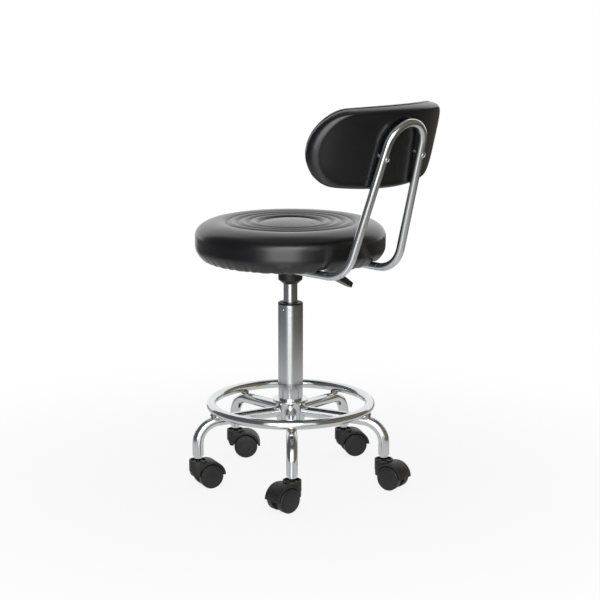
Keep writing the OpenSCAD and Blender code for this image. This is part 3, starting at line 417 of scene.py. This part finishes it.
class STOOL_OT_seat_upholstery(bpy.types.Operator):
    """Makes the seat's leather cover with its sewn rings, filled and gathered under the board"""
    bl_idname = "stool.seat_upholstery"
    bl_label = "Seat upholstery"

    def execute(self, context):
        sizes = context.scene.stool_seat
        profile, sewn = seat_profile(sizes)
        turns = [2 * math.pi * i / SEAT_SEGMENTS for i in range(SEAT_SEGMENTS)]
        rings = [[(r * math.cos(a), r * math.sin(a), z) for a in turns] for r, z in profile]
        cap = strip_cap(SEAT_SEGMENTS, 0)
        piece = skin("seat_upholstery", rings, cap, cap)
        held = [ring * SEAT_SEGMENTS + i for ring in sewn for i in range(SEAT_SEGMENTS)]
        inflate(piece, held, FILL_PRESSURE, sizes.swell)
        self.gather_hem(piece, sizes)
        apply_modifier(piece, "SUBSURF", levels=1, render_levels=1)
        smooth(piece, 60)
        dress(piece, "seat", "black_vinyl", "seat_cushion")
        return {"FINISHED"}

    def gather_hem(self, piece, sizes):
        """Hangs the cover below the board's edge, except on the tubes, and draws it in at its gathers."""
        places = gathers(3, 1 / HEM_GATHERS, 0.35)
        low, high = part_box("seat_cushion")
        foot_r = sizes.foot_radius
        core_r = high.x - sizes.slack - foot_r
        core_z = low.z + foot_r
        for index, point in enumerate(piece.data.vertices):
            out = Vector((point.co.x, point.co.y, 0))
            rise = (point.co.z - low.z) / foot_r
            if rise > 1.3 or out.length < core_r - 0.4 * foot_r:
                continue
            beside_tube = abs(abs(point.co.x) - sizes.tube_x) - sizes.tube_width / 2
            free = 1 if point.co.y < 0 else max(0, min(1, beside_tube / BULGE_FADE))
            free *= free * (3 - 2 * free)
            beyond = (out.length - core_r - 0.2 * foot_r) / (0.5 * foot_r)
            hang = math.exp(-beyond ** 2 - 4 * rise * abs(rise))
            point.co.z -= sizes.bulge * free * hang
            at = (index % SEAT_SEGMENTS) / SEAT_SEGMENTS
            turn = 2 * math.pi * at
            uneven = 0.65 + 0.6 * noise.noise(Vector((math.cos(turn), math.sin(turn), 7)) * 2)
            drawn = sizes.pleat_depth * (0.3 + 0.7 * free) * math.exp(-(rise / 0.55) ** 2)
            depth = drawn * uneven * gather_at(places, at, 0.0032)
            core = out.normalized() * core_r
            point.co += (Vector((core.x, core.y, core_z)) - point.co).normalized() * depth


# Backrest

END_STEPS = 44
SIDE_STEPS = 52
RING_POINTS = 2 * (END_STEPS + SIDE_STEPS)
END_GATHERS = 74
# Half height of the innermost ring, which a cap closes
CAP_HALF = 5 * MM
# Rounded rear shell from the panel's edge to the seam: shares of the inset and of the depth
SHELL_SHARES = ((1, 0), (0.82, 0.03), (0.62, 0.10), (0.42, 0.21),
                (0.25, 0.36), (0.12, 0.54), (0.03, 0.76), (0, 1))
SHELL_STEP = 1.2 * MM


def pad_outline(sizes, inset, taper=0):
    """Distances round the bow and heights of the pad's outline, at an inset and with its ends drawn in."""
    radius = sizes.height / 2 - inset
    flat = (sizes.width - sizes.height) / 2 - taper
    turns = [math.pi * k / END_STEPS for k in range(END_STEPS + 1)]
    right = [(flat + radius * math.sin(t), -radius * math.cos(t)) for t in turns]
    upper = [(flat - 2 * flat * k / SIDE_STEPS, radius) for k in range(1, SIDE_STEPS)]
    left = [(-x, -y) for x, y in right]
    lower = [(-x, -y) for x, y in upper]
    arched = []
    for x, y in right + upper + left + lower:
        rise = 2 * sizes.arch / sizes.height * (1 - (2 * x / sizes.width) ** 2)
        arched.append((x, y * (1 + rise) if y > 0 else y))
    return arched


class PadPlace:
    """Turns an inset and a depth in front of the pad's rear face into a ring of points on the bow."""

    def __init__(self, sizes):
        tube_radius = 8 * MM
        standoff = 3.05 * MM
        self.sizes = sizes
        self.rise = -2 * MM
        self.axis_y = -math.sqrt(sizes.bow_radius ** 2 - SCREW_X ** 2)
        self.matrix = (Matrix.Translation(TUBE_CORNER) @ Matrix.Rotation(-sizes.lean, 4, "X")
                       @ Matrix.Translation((0, -tube_radius - standoff, SCREW_UP))
                       @ Matrix.Rotation(sizes.tip, 4, "X"))

    def point(self, across, up, depth):
        """Point at a distance round the bow, a height and a depth."""
        turn = across / self.sizes.bow_radius
        reach = self.sizes.bow_radius - depth
        place = (reach * math.sin(turn), self.axis_y + reach * math.cos(turn), self.rise + up)
        return self.matrix @ Vector(place)

    def ring(self, inset, depth, taper=0):
        """Ring of points at an inset from the rim, with the ends drawn in by a taper."""
        lift = self.sizes.rear_lift * taper / self.sizes.rear_taper
        return [self.point(x, y + lift, depth) for x, y in pad_outline(self.sizes, inset, taper)]


class STOOL_OT_back_upholstery(bpy.types.Operator):
    """Makes the back pad's leather cover, filled, with a sewn front edge and gathers round its ends"""
    bl_idname = "stool.back_upholstery"
    bl_label = "Back upholstery"

    def execute(self, context):
        sizes = context.scene.stool_back
        place = PadPlace(sizes)
        core = sizes.height / 2 - CAP_HALF
        border = sizes.rear_edge + 2 * MM
        floor_depth = 11.6 * MM
        taper = sizes.rear_taper
        levels = [(border + (core - border) * k / 6, floor_depth, taper) for k in range(6, -1, -1)]
        levels += [(border, floor_depth / 2, taper), (border, 1.2 * MM, taper)]
        levels.append((border - 0.6 * MM, 0.2 * MM, taper))
        first_rim = len(levels)
        shell_depth = sizes.widest - 4 * MM
        for drawn_in, deep in SHELL_SHARES:
            levels.append((SHELL_STEP + sizes.rear_edge * drawn_in, shell_depth * deep, taper * drawn_in))
        levels += [(SHELL_STEP + 0.4 * MM, shell_depth + 1 * MM, 0), (sizes.seam, shell_depth + 2 * MM, 0)]
        seams = [len(levels) - 1]
        levels.append((0.6 * MM + sizes.slack, shell_depth + 3 * MM, 0))
        front = sizes.thickness - sizes.widest - sizes.slack
        for k in range(11):
            turn = math.radians(90 * k / 10)
            levels.append((sizes.front_edge * (1 - math.cos(turn)) + sizes.slack,
                           sizes.widest + front * math.sin(turn), 0))
            if k == 7:
                seams.append(len(levels) - 1)
        edge = levels[-1]
        for k in range(1, 9):
            share = k / 8
            levels.append((edge[0] + (core - edge[0]) * share,
                           edge[1] + sizes.crown * math.sin(math.pi / 2 * share), 0))
        rings = [place.ring(*level) for level in levels]
        cap = strip_cap(RING_POINTS, END_STEPS)
        piece = skin("back_upholstery", rings, cap, cap)
        held = list(range(first_rim + 6)) + seams
        sewn = [k * RING_POINTS + i for k in held for i in range(RING_POINTS)]
        inflate(piece, sewn, FILL_PRESSURE, sizes.swell)
        self.gather_ends(piece, place, levels)
        apply_modifier(piece, "SUBSURF", levels=1, render_levels=1)
        smooth(piece, 60)
        dress(piece, "seat", "black_vinyl", "back_cushion")
        return {"FINISHED"}

    def gather_ends(self, piece, place, levels):
        """Draws the rim in at its gathers, mostly round the two ends."""
        sizes = place.sizes
        places = gathers(11, 1 / END_GATHERS, 0.4)
        flat = (sizes.width - sizes.height) / 2
        outline = pad_outline(sizes, 0)
        centres = [place.point(max(-flat, min(flat, x)), 0, sizes.widest) for x, y in outline]
        for index, point in enumerate(piece.data.vertices):
            ring, along = divmod(index, RING_POINTS)
            inset, depth = levels[ring][:2]
            if inset > sizes.front_edge or depth < 1 * MM:
                continue
            share = max(0, abs(outline[along][0]) - flat * 0.9) / (sizes.width / 2 - flat)
            strength = 0.35 + 0.65 * min(1, 2 * share)
            fade = math.exp(-((depth - sizes.widest + 4 * MM) / (7 * MM)) ** 2)
            draw = sizes.pleat_depth * strength * fade * gather_at(places, along / RING_POINTS, 0.004)
            point.co += (centres[along] - point.co).normalized() * draw


class STOOL_OT_rear_panel(bpy.types.Operator):
    """Makes the back pad's rear panel, whose turned edge lies on the shell as a soft ridge"""
    bl_idname = "stool.rear_panel"
    bl_label = "Rear panel"

    def execute(self, context):
        sizes = context.scene.stool_back
        place = PadPlace(sizes)
        core = sizes.height / 2 - CAP_HALF
        border = sizes.rear_edge + 2.3 * MM
        inner = border + 9 * MM
        ridge = sizes.ridge
        face = [(inner + (core - inner) * k / 8, 0) for k in range(8, -1, -1)]
        rise = [(border + 5 * MM, -0.25 * ridge), (border + 2 * MM, -0.85 * ridge), (border, -ridge),
                (border - 1.6 * MM, -0.8 * ridge), (border - 2.4 * MM, -0.35 * ridge),
                (border - 2.2 * MM, 0)]
        back = [(border, 0.1 * MM), (border, 3 * MM)]
        back += [(border + (core - border) * k / 4, 3 * MM) for k in range(1, 5)]
        rings = [place.ring(inset, depth, sizes.rear_taper) for inset, depth in face + rise + back]
        cap = strip_cap(RING_POINTS, END_STEPS)
        panel = skin("back_rear_panel", rings, cap, cap)
        apply_modifier(panel, "SUBSURF", levels=1, render_levels=1)
        smooth(panel, 60)
        dress(panel, "seat", "black_vinyl", "back_cover")
        return {"FINISHED"}


# Underside

class STOOL_OT_dust_cover(bpy.types.Operator):
    """Makes the stapled cloth under the seat"""
    bl_idname = "stool.dust_cover"
    bl_label = "Dust cover"

    def execute(self, context):
        low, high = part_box("dust_cover")
        radius = high.x
        segments = 96
        ring_count = 14
        rings = []
        for ring in range(1, ring_count + 1):
            r = radius * ring / ring_count
            points = []
            for i in range(segments):
                turn = 2 * math.pi * i / segments
                x, y = r * math.cos(turn), r * math.sin(turn)
                ripple = 0.5 + 0.5 * noise.noise(Vector((x, y, 0)) * per_metre(35))
                pull = 0.5 + 0.5 * math.cos(24 * turn)
                rise = 0.35 * MM + 0.5 * MM * ripple + 0.3 * MM * pull * (ring / ring_count) ** 4
                points.append((x, y, low.z + rise))
            rings.append(points)
        piece = self.disc("seat_dust_cover", rings)
        apply_modifier(piece, "SOLIDIFY", thickness=0.3 * MM, offset=0)
        smooth(piece, 60)
        dress(piece, "seat", "dust_cloth", "dust_cover")
        self.add_staples(low.z, radius)
        return {"FINISHED"}

    def disc(self, name, rings):
        """Round sheet through rings of points."""
        mesh = bpy.data.meshes.new(name)
        form = bmesh.new()
        points = [[form.verts.new(p) for p in ring] for ring in rings]
        count = len(rings[0])
        for inner, outer in zip(points, points[1:]):
            for i in range(count):
                j = (i + 1) % count
                form.faces.new((inner[i], outer[i], outer[j], inner[j]))
        form.faces.new(points[0])
        bmesh.ops.recalc_face_normals(form, faces=form.faces)
        form.to_mesh(mesh)
        form.free()
        return add_object(name, mesh)

    def add_staples(self, foot_z, radius):
        """Drives staples round the cloth's edge."""
        count = 24
        bpy.ops.mesh.primitive_cube_add(size=1, location=(radius - 7 * MM, 0, foot_z - 0.05 * MM))
        staple = bpy.context.object
        staple.scale = (0.9 * MM, 10 * MM, 0.5 * MM)
        bpy.ops.object.transform_apply(location=True, rotation=True, scale=True)
        apply_modifier(staple, "BEVEL", width=0.15 * MM, segments=2)
        copies = [staple]
        for k in range(1, count):
            mesh = staple.data.copy()
            mesh.transform(Matrix.Rotation(2 * math.pi * k / count, 4, "Z"))
            copies.append(add_object("staple", mesh))
        join(copies, "seat_staples")
        dress(staple, "seat", "zinc_steel")


def join(copies, name):
    """Joins copies into the first one, which gets the name."""
    bpy.ops.object.select_all(action="DESELECT")
    for piece in copies:
        piece.select_set(True)
    bpy.context.view_layer.objects.active = copies[0]
    bpy.ops.object.join()
    copies[0].name = name
    return copies[0]


# Rigid pieces

def eased_copy(node, name, radius, segments, flat_angle=1.0, edge_angle=35):
    """Copies a CAD node, merges its loose triangles and rounds its sharp edges."""
    piece = add_object(name, frame["nodes"][node].data.copy())

    def merge():
        bpy.ops.mesh.remove_doubles(threshold=1e-6)
        bpy.ops.mesh.dissolve_limited(angle_limit=math.radians(flat_angle))
    edit(piece, merge)
    apply_modifier(piece, "BEVEL", width=radius, segments=segments, limit_method="ANGLE",
                   angle_limit=math.radians(edge_angle), use_clamp_overlap=True)
    smooth(piece, 40)
    return piece


class STOOL_OT_caster_hoods(bpy.types.Operator):
    """Makes the five caster hoods with moulded edges"""
    bl_idname = "stool.caster_hoods"
    bl_label = "Caster hoods"

    def execute(self, context):
        for number in range(1, 6):
            node = f"caster_hood_{number}"
            piece = eased_copy(node, f"moulded_hood_{number}", 0.8 * MM, 3)
            dress(piece, f"caster_{number}", "hood_plastic", node)
        return {"FINISHED"}


class STOOL_OT_lever_grip(bpy.types.Operator):
    """Makes the height lever's moulded grip"""
    bl_idname = "stool.lever_grip"
    bl_label = "Lever grip"

    def execute(self, context):
        piece = eased_copy("lever_paddle", "lever_grip", 3.6 * MM, 5)
        dress(piece, "lever", "black_plastic", "lever_paddle")
        return {"FINISHED"}


class STOOL_OT_back_screws(bpy.types.Operator):
    """Makes the two pan-head screws that hold the back pad, with their cross recesses"""
    bl_idname = "stool.back_screws"
    bl_label = "Back screws"

    def execute(self, context):
        sizes = context.scene.stool_back
        piece = eased_copy("back_screws", "back_pan_screws", 1.4 * MM, 4)
        head_out = 12 * MM
        for x in (-SCREW_X, SCREW_X):
            place = (Matrix.Translation(TUBE_CORNER) @ Matrix.Rotation(-sizes.lean, 4, "X")
                     @ Matrix.Translation((x, 0, SCREW_UP)) @ Matrix.Rotation(math.pi / 2, 4, "X"))
            for turn in (0, math.pi / 2):
                bpy.ops.object.select_all(action="DESELECT")
                bpy.ops.mesh.primitive_cube_add(size=1)
                cutter = bpy.context.object
                shape = Matrix.Diagonal((1.2 * MM, 6 * MM, 5 * MM, 1))
                cutter.data.transform(place @ Matrix.Translation((0, 0, -head_out))
                                      @ Matrix.Rotation(turn + 0.4, 4, "Z") @ shape)
                apply_modifier(piece, "BOOLEAN", object=cutter, operation="DIFFERENCE", solver="EXACT")
                bpy.data.objects.remove(cutter)
        smooth(piece, 40)
        dress(piece, "seat", "zinc_steel", "back_screws")
        return {"FINISHED"}


class STOOL_OT_weld_beads(bpy.types.Operator):
    """Makes the weld beads where the legs meet the hub and the foot ring's posts"""
    bl_idname = "stool.weld_beads"
    bl_label = "Weld beads"

    def execute(self, context):
        leg_turns = [math.radians(46.7 + 72 * n) for n in range(5)]
        hub_beads = [self.hub_bead(n, turn) for n, turn in enumerate(leg_turns)]
        dress(join(hub_beads, "hub_welds"), "base", "chrome")
        post_beads = [self.post_bead(n, turn) for n, turn in enumerate(leg_turns)]
        dress(join(post_beads, "ring_welds"), "base", "weld_steel")
        return {"FINISHED"}

    def bead(self, major, minor, seed):
        """Ring of weld metal with ripples round the Z axis."""
        bpy.ops.object.select_all(action="DESELECT")
        bpy.ops.mesh.primitive_torus_add(major_radius=major, minor_radius=minor,
                                         major_segments=72, minor_segments=12)
        piece = bpy.context.object
        for point in piece.data.vertices:
            turn = math.atan2(point.co.y, point.co.x)
            middle = Vector((math.cos(turn), math.sin(turn), 0)) * major
            drift = noise.noise(point.co * per_metre(6) + Vector((seed, 0, 0)))
            ripple = 1 + 0.10 * math.sin(22 * turn) + 0.18 * drift
            point.co = middle + (point.co - middle) * ripple
        return piece

    def hub_bead(self, number, turn):
        """Bead round a leg's root, bent on to the hub."""
        hub_r = 28 * MM
        leg_z = 141 * MM
        piece = self.bead(11.2 * MM, 1.3 * MM, number)
        for point in piece.data.vertices:
            up, across, out = point.co.x, point.co.y, point.co.z
            point.co = Vector((out + math.sqrt(hub_r ** 2 - across ** 2), across, up + leg_z))
        piece.data.transform(Matrix.Rotation(turn, 4, "Z"))
        smooth(piece, 60)
        return piece

    def post_bead(self, number, turn):
        """Bead that fills the gap between the foot ring and a leg."""
        post_r = 158.5 * MM
        piece = self.bead(6.3 * MM, 1.9 * MM, number + 10)
        low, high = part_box("ring_posts")
        piece.data.transform(Matrix.Rotation(turn, 4, "Z")
                             @ Matrix.Translation((post_r, 0, (low.z + high.z) / 2)))
        smooth(piece, 60)
        return piece


class STOOL_OT_frame_finishes(bpy.types.Operator):
    """Gives every CAD node that shows the material of its slot"""
    bl_idname = "stool.frame_finishes"
    bl_label = "Frame finishes"

    def execute(self, context):
        for name, piece in frame["nodes"].items():
            slot = node_slot(name)
            piece.data.materials.clear()
            piece.data.materials.append(finish(slot))
        return {"FINISHED"}


def node_slot(name):
    """The record's material slot of a CAD node."""
    for part in frame["record"]["subparts"]:
        if part["node"] == name:
            return part["material_slot"]
    raise KeyError(f"the record has no node {name}")


# Studio

# Tone of the painted shade on the floor under the stool, as mirrors show it
NEAR_FLOOR_SHADE = "#cfcfcf"


class STOOL_OT_studio(bpy.types.Operator):
    """Sets up the floor, the soft light, the white surround and the camera"""
    bl_idname = "stool.studio"
    bl_label = "Studio"

    def execute(self, context):
        context.scene.view_settings.view_transform = "Standard"
        self.add_floor(context.scene.stool_colours)
        self.add_surround()
        self.add_softbox("front_softbox", (2.05, 2.05, 1.75), (0, 0, 0.45), (1.7, 1.1), 26)
        self.add_flags()
        self.add_camera()
        return {"FINISHED"}

    def add_floor(self, colours):
        """Pale floor that looks near white and keeps the shadow."""
        bpy.ops.object.select_all(action="DESELECT")
        bpy.ops.mesh.primitive_plane_add(size=60, location=(0, 0, -0.2 * MM))
        floor = bpy.context.object
        floor.name = "studio_floor"
        material = bpy.data.materials.new("studio_paper")
        material.use_nodes = True
        material.node_tree.nodes.clear()
        rays = add_node(material, "ShaderNodeLightPath").outputs
        seen = add_node(material, "ShaderNodeMath",
                        {0: rays["Is Camera Ray"], 1: rays["Is Glossy Ray"]}, operation="MAXIMUM")
        seen = add_node(material, "ShaderNodeMath",
                        {0: seen.outputs[0], 1: rays["Is Transmission Ray"]}, operation="MAXIMUM")
        place = add_node(material, "ShaderNodeTexCoord").outputs["Object"]
        away = add_node(material, "ShaderNodeVectorMath", {0: place}, operation="LENGTH")
        white_share = add_node(material, "ShaderNodeMapRange",
                               {"Value": away.outputs["Value"], "From Min": 0.3, "From Max": 1.1,
                                "To Min": 0.86, "To Max": 1.0}, interpolation_type="SMOOTHSTEP")
        share = add_node(material, "ShaderNodeMath", {0: seen.outputs[0], 1: white_share.outputs[0]},
                         operation="MULTIPLY")
        paper = add_node(material, "ShaderNodeBsdfDiffuse", {"Color": (*colours.floor, 1)})
        white = add_node(material, "ShaderNodeEmission", {"Color": (1, 1, 1, 1), "Strength": 1.0})
        mixed = add_node(material, "ShaderNodeMixShader",
                         {0: share.outputs[0], 1: paper.outputs[0], 2: white.outputs[0]})
        add_node(material, "ShaderNodeOutputMaterial", {"Surface": mixed.outputs[0]})
        floor.data.materials.append(material)

    def add_surround(self):
        """White surround for what is seen and mirrored, and softer light for the rest."""
        world = bpy.data.worlds.new("studio_surround")
        world.use_nodes = True
        world.node_tree.nodes.clear()
        rays = add_node(world, "ShaderNodeLightPath").outputs
        seen = add_node(world, "ShaderNodeMath",
                        {0: rays["Is Camera Ray"], 1: rays["Is Glossy Ray"]}, operation="MAXIMUM")
        seen = add_node(world, "ShaderNodeMath",
                        {0: seen.outputs[0], 1: rays["Is Transmission Ray"]}, operation="MAXIMUM")
        strength = add_node(world, "ShaderNodeMath",
                            {0: seen.outputs[0], 1: 0.45, 2: 0.55}, operation="MULTIPLY_ADD")
        light = add_node(world, "ShaderNodeBackground",
                         {"Color": (1, 1, 1, 1), "Strength": strength.outputs[0]})
        add_node(world, "ShaderNodeOutputWorld", {"Surface": light.outputs[0]})
        bpy.context.scene.world = world

    def add_softbox(self, name, place, target, size, power):
        """Rectangular soft light that faces a target."""
        light = bpy.data.lights.new(name, "AREA")
        light.shape = "RECTANGLE"
        light.size, light.size_y = size
        light.energy = power
        light.specular_factor = 0
        lamp = bpy.data.objects.new(name, light)
        lamp.visible_camera = False
        lamp.location = place
        lamp.rotation_euler = (Vector(target) - Vector(place)).to_track_quat("-Z", "Y").to_euler()
        bpy.context.scene.collection.objects.link(lamp)

    def add_flags(self):
        """Cards round the set that only mirrors see. They leave the backdrop behind the stool open."""
        grey = self.card_paint("grey_flag", "#5c5c5e")
        warm = self.card_paint("warm_card", "#75705f")
        ceiling = self.card_paint("ceiling_card", "#959595")
        front = self.card_paint("front_light", "#ffffff", strength=3.4)
        glow = self.card_paint("floor_glow", "#ffffff", strength=1.3)
        middle = self.card_paint("floor_middle", "#bebebe")
        shade = self.card_paint("floor_shade", NEAR_FLOOR_SHADE)
        left_floor = self.card_paint("left_floor_cloth", "#6a6a6c", (0.3, 1.7))
        right_floor = self.card_paint("right_floor_cloth", "#54524b", (0.3, 1.6))
        left_edge = self.card_paint("left_cloth_edge", "#a4a4a6", (0.3, 1.7))
        right_edge = self.card_paint("right_cloth_edge", "#96948c", (0.3, 1.6))
        left = (-128, -35)
        right = (35, 128)
        self.add_dome_part("flag_left", grey, left, (0, 62))
        self.add_dome_part("card_right", warm, right, (0, 40))
        self.add_dome_part("flag_right", grey, right, (40, 62))
        self.add_dome_part("flag_front", grey, (-35, 35), (44, 62))
        self.add_dome_part("ceiling", ceiling, (0, 360), (62, 90))
        front_rows = [self.arc((-26, 10), 2.05, height) for height in (0.02, 0.6, 1.35)]
        self.add_card("front_light", front, front_rows)
        # Painted shade: a grey disc under the stool stands in for its shadow in mirrors
        self.add_floor_part("floor_shade", shade, (0, 360), (0.01, 0.3))
        self.add_floor_part("floor_glow", glow, (-14, 2), (0.33, 0.8))
        self.add_floor_part("middle_left", middle, (-38, -14), (0.3, 0.8))
        self.add_floor_part("middle_right", middle, (2, 24), (0.3, 0.8))
        self.add_floor_part("floor_left", left_floor, (-150, -38), (0.3, 6))
        self.add_floor_part("edge_left", left_edge, (-38, -26), (0.8, 6))
        self.add_floor_part("edge_right", right_edge, (9, 24), (0.8, 6))
        self.add_floor_part("floor_right", right_floor, (24, 165), (0.3, 6))

    def card_paint(self, name, tone, fade=None, strength=1.0):
        """Unlit paint that mirrors show as it is. A fade starts from the tone of the painted shade on the
        near floor.
        """
        material = bpy.data.materials.new(name)
        material.use_nodes = True
        material.node_tree.nodes.clear()
        colour_in = (*linear(tone), 1)
        if fade:
            place = add_node(material, "ShaderNodeTexCoord").outputs["Object"]
            away = add_node(material, "ShaderNodeVectorMath", {0: place}, operation="LENGTH")
            share = add_node(material, "ShaderNodeMapRange",
                             {"Value": away.outputs["Value"], "From Min": fade[0], "From Max": fade[1]},
                             interpolation_type="SMOOTHSTEP")
            near = (*linear(NEAR_FLOOR_SHADE), 1)
            colour_in = add_node(material, "ShaderNodeMix",
                                 {0: share.outputs[0], 6: near, 7: colour_in}, data_type="RGBA").outputs[2]
        paint = add_node(material, "ShaderNodeEmission", {"Color": colour_in, "Strength": strength})
        add_node(material, "ShaderNodeOutputMaterial", {"Surface": paint.outputs[0]})
        return material

    def add_dome_part(self, name, material, turns, rises):
        """Part of a dome, between two turns from the camera's bearing and two rises, in degrees."""
        reach = 6
        rows = 6
        rings = []
        for row in range(rows + 1):
            rise = math.radians(rises[0] + (rises[1] - rises[0]) * row / rows)
            rings.append(self.arc(turns, reach * math.cos(rise), reach * math.sin(rise)))
        self.add_card(name, material, rings)

    def add_floor_part(self, name, material, turns, reaches):
        """Part of the floor, between two turns from the camera's bearing, in degrees, and two distances."""
        self.add_card(name, material, [self.arc(turns, reach, 0.1 * MM) for reach in reaches])

    def arc(self, turns, reach, height):
        """Points of an arc round the set."""
        toward_camera = math.radians(45.9)
        steps = 24
        points = []
        for k in range(steps + 1):
            turn = toward_camera + math.radians(turns[0] + (turns[1] - turns[0]) * k / steps)
            points.append((reach * math.cos(turn), reach * math.sin(turn), height))
        return points

    def add_card(self, name, material, rows):
        """Sheet through rows of points that only mirrors see."""
        mesh = bpy.data.meshes.new(name)
        width = len(rows[0])
        faces = [(r * width + k, r * width + k + 1, (r + 1) * width + k + 1, (r + 1) * width + k)
                 for r in range(len(rows) - 1) for k in range(width - 1)]
        mesh.from_pydata([point for row in rows for point in row], [], faces)
        card = add_object(name, mesh)
        card.data.materials.append(material)
        card.visible_camera = False
        card.visible_diffuse = False
        card.visible_shadow = False
        card.visible_transmission = False
        card.visible_volume_scatter = False

    def add_camera(self):
        """Camera at the photograph's place, behind the seat's left."""
        bearing = math.radians(44.1)
        pitch = math.radians(11.84)
        yaw = math.radians(0.34)
        right = Vector((-math.cos(bearing), math.sin(bearing), 0))
        away = Vector((-math.sin(bearing), -math.cos(bearing), 0))
        level = away * math.cos(yaw) + right * math.sin(yaw)
        forward = math.cos(pitch) * level - math.sin(pitch) * Vector((0, 0, 1))
        camera = bpy.data.cameras.new("photo_camera")
        camera.sensor_width = 36
        camera.lens = 101.58
        camera.clip_end = 100
        eye = bpy.data.objects.new("photo_camera", camera)
        eye.location = (2.278, 2.350, 1.052)
        eye.rotation_euler = forward.to_track_quat("-Z", "Y").to_euler()
        bpy.context.scene.collection.objects.link(eye)
        bpy.context.scene.camera = eye


# Add-on

OPERATORS = (
    STOOL_OT_seat_upholstery,
    STOOL_OT_back_upholstery,
    STOOL_OT_rear_panel,
    STOOL_OT_dust_cover,
    STOOL_OT_caster_hoods,
    STOOL_OT_lever_grip,
    STOOL_OT_back_screws,
    STOOL_OT_weld_beads,
    STOOL_OT_frame_finishes,
    STOOL_OT_studio,
)


class STOOL_PT_workshop(bpy.types.Panel):
    """Lists the stool's pieces and sizes"""
    bl_idname = "STOOL_PT_workshop"
    bl_label = "Stylist stool"
    bl_space_type = "VIEW_3D"
    bl_region_type = "UI"
    bl_category = "Stool"

    def draw(self, context):
        for operator in OPERATORS:
            self.layout.operator(operator.bl_idname)
        for group in GROUPS:
            column = self.layout.column()
            settings = getattr(context.scene, group)
            for name in settings.bl_rna.properties.keys():
                if name not in ("rna_type", "name"):
                    column.prop(settings, name)


GROUPS = {"stool_seat": StoolSeatSizes, "stool_back": StoolBackSizes, "stool_colours": StoolColours}


def register():
    """Registers the sizes, the operators and the panel."""
    for name, group in GROUPS.items():
        bpy.utils.register_class(group)
        setattr(bpy.types.Scene, name, bpy.props.PointerProperty(type=group))
    for operator in OPERATORS:
        bpy.utils.register_class(operator)
    bpy.utils.register_class(STOOL_PT_workshop)


def unregister():
    """Removes the panel, the operators and the sizes."""
    bpy.utils.unregister_class(STOOL_PT_workshop)
    for operator in reversed(OPERATORS):
        bpy.utils.unregister_class(operator)
    for name, group in GROUPS.items():
        delattr(bpy.types.Scene, name)
        bpy.utils.unregister_class(group)


def main():
    """Builds the stool and the studio."""
    register()
    bpy.ops.stool.seat_upholstery()
    bpy.ops.stool.back_upholstery()
    bpy.ops.stool.rear_panel()
    bpy.ops.stool.dust_cover()
    bpy.ops.stool.caster_hoods()
    bpy.ops.stool.lever_grip()
    bpy.ops.stool.back_screws()
    bpy.ops.stool.weld_beads()
    bpy.ops.stool.frame_finishes()
    bpy.ops.stool.studio()


if __name__ == "__main__":
    main()
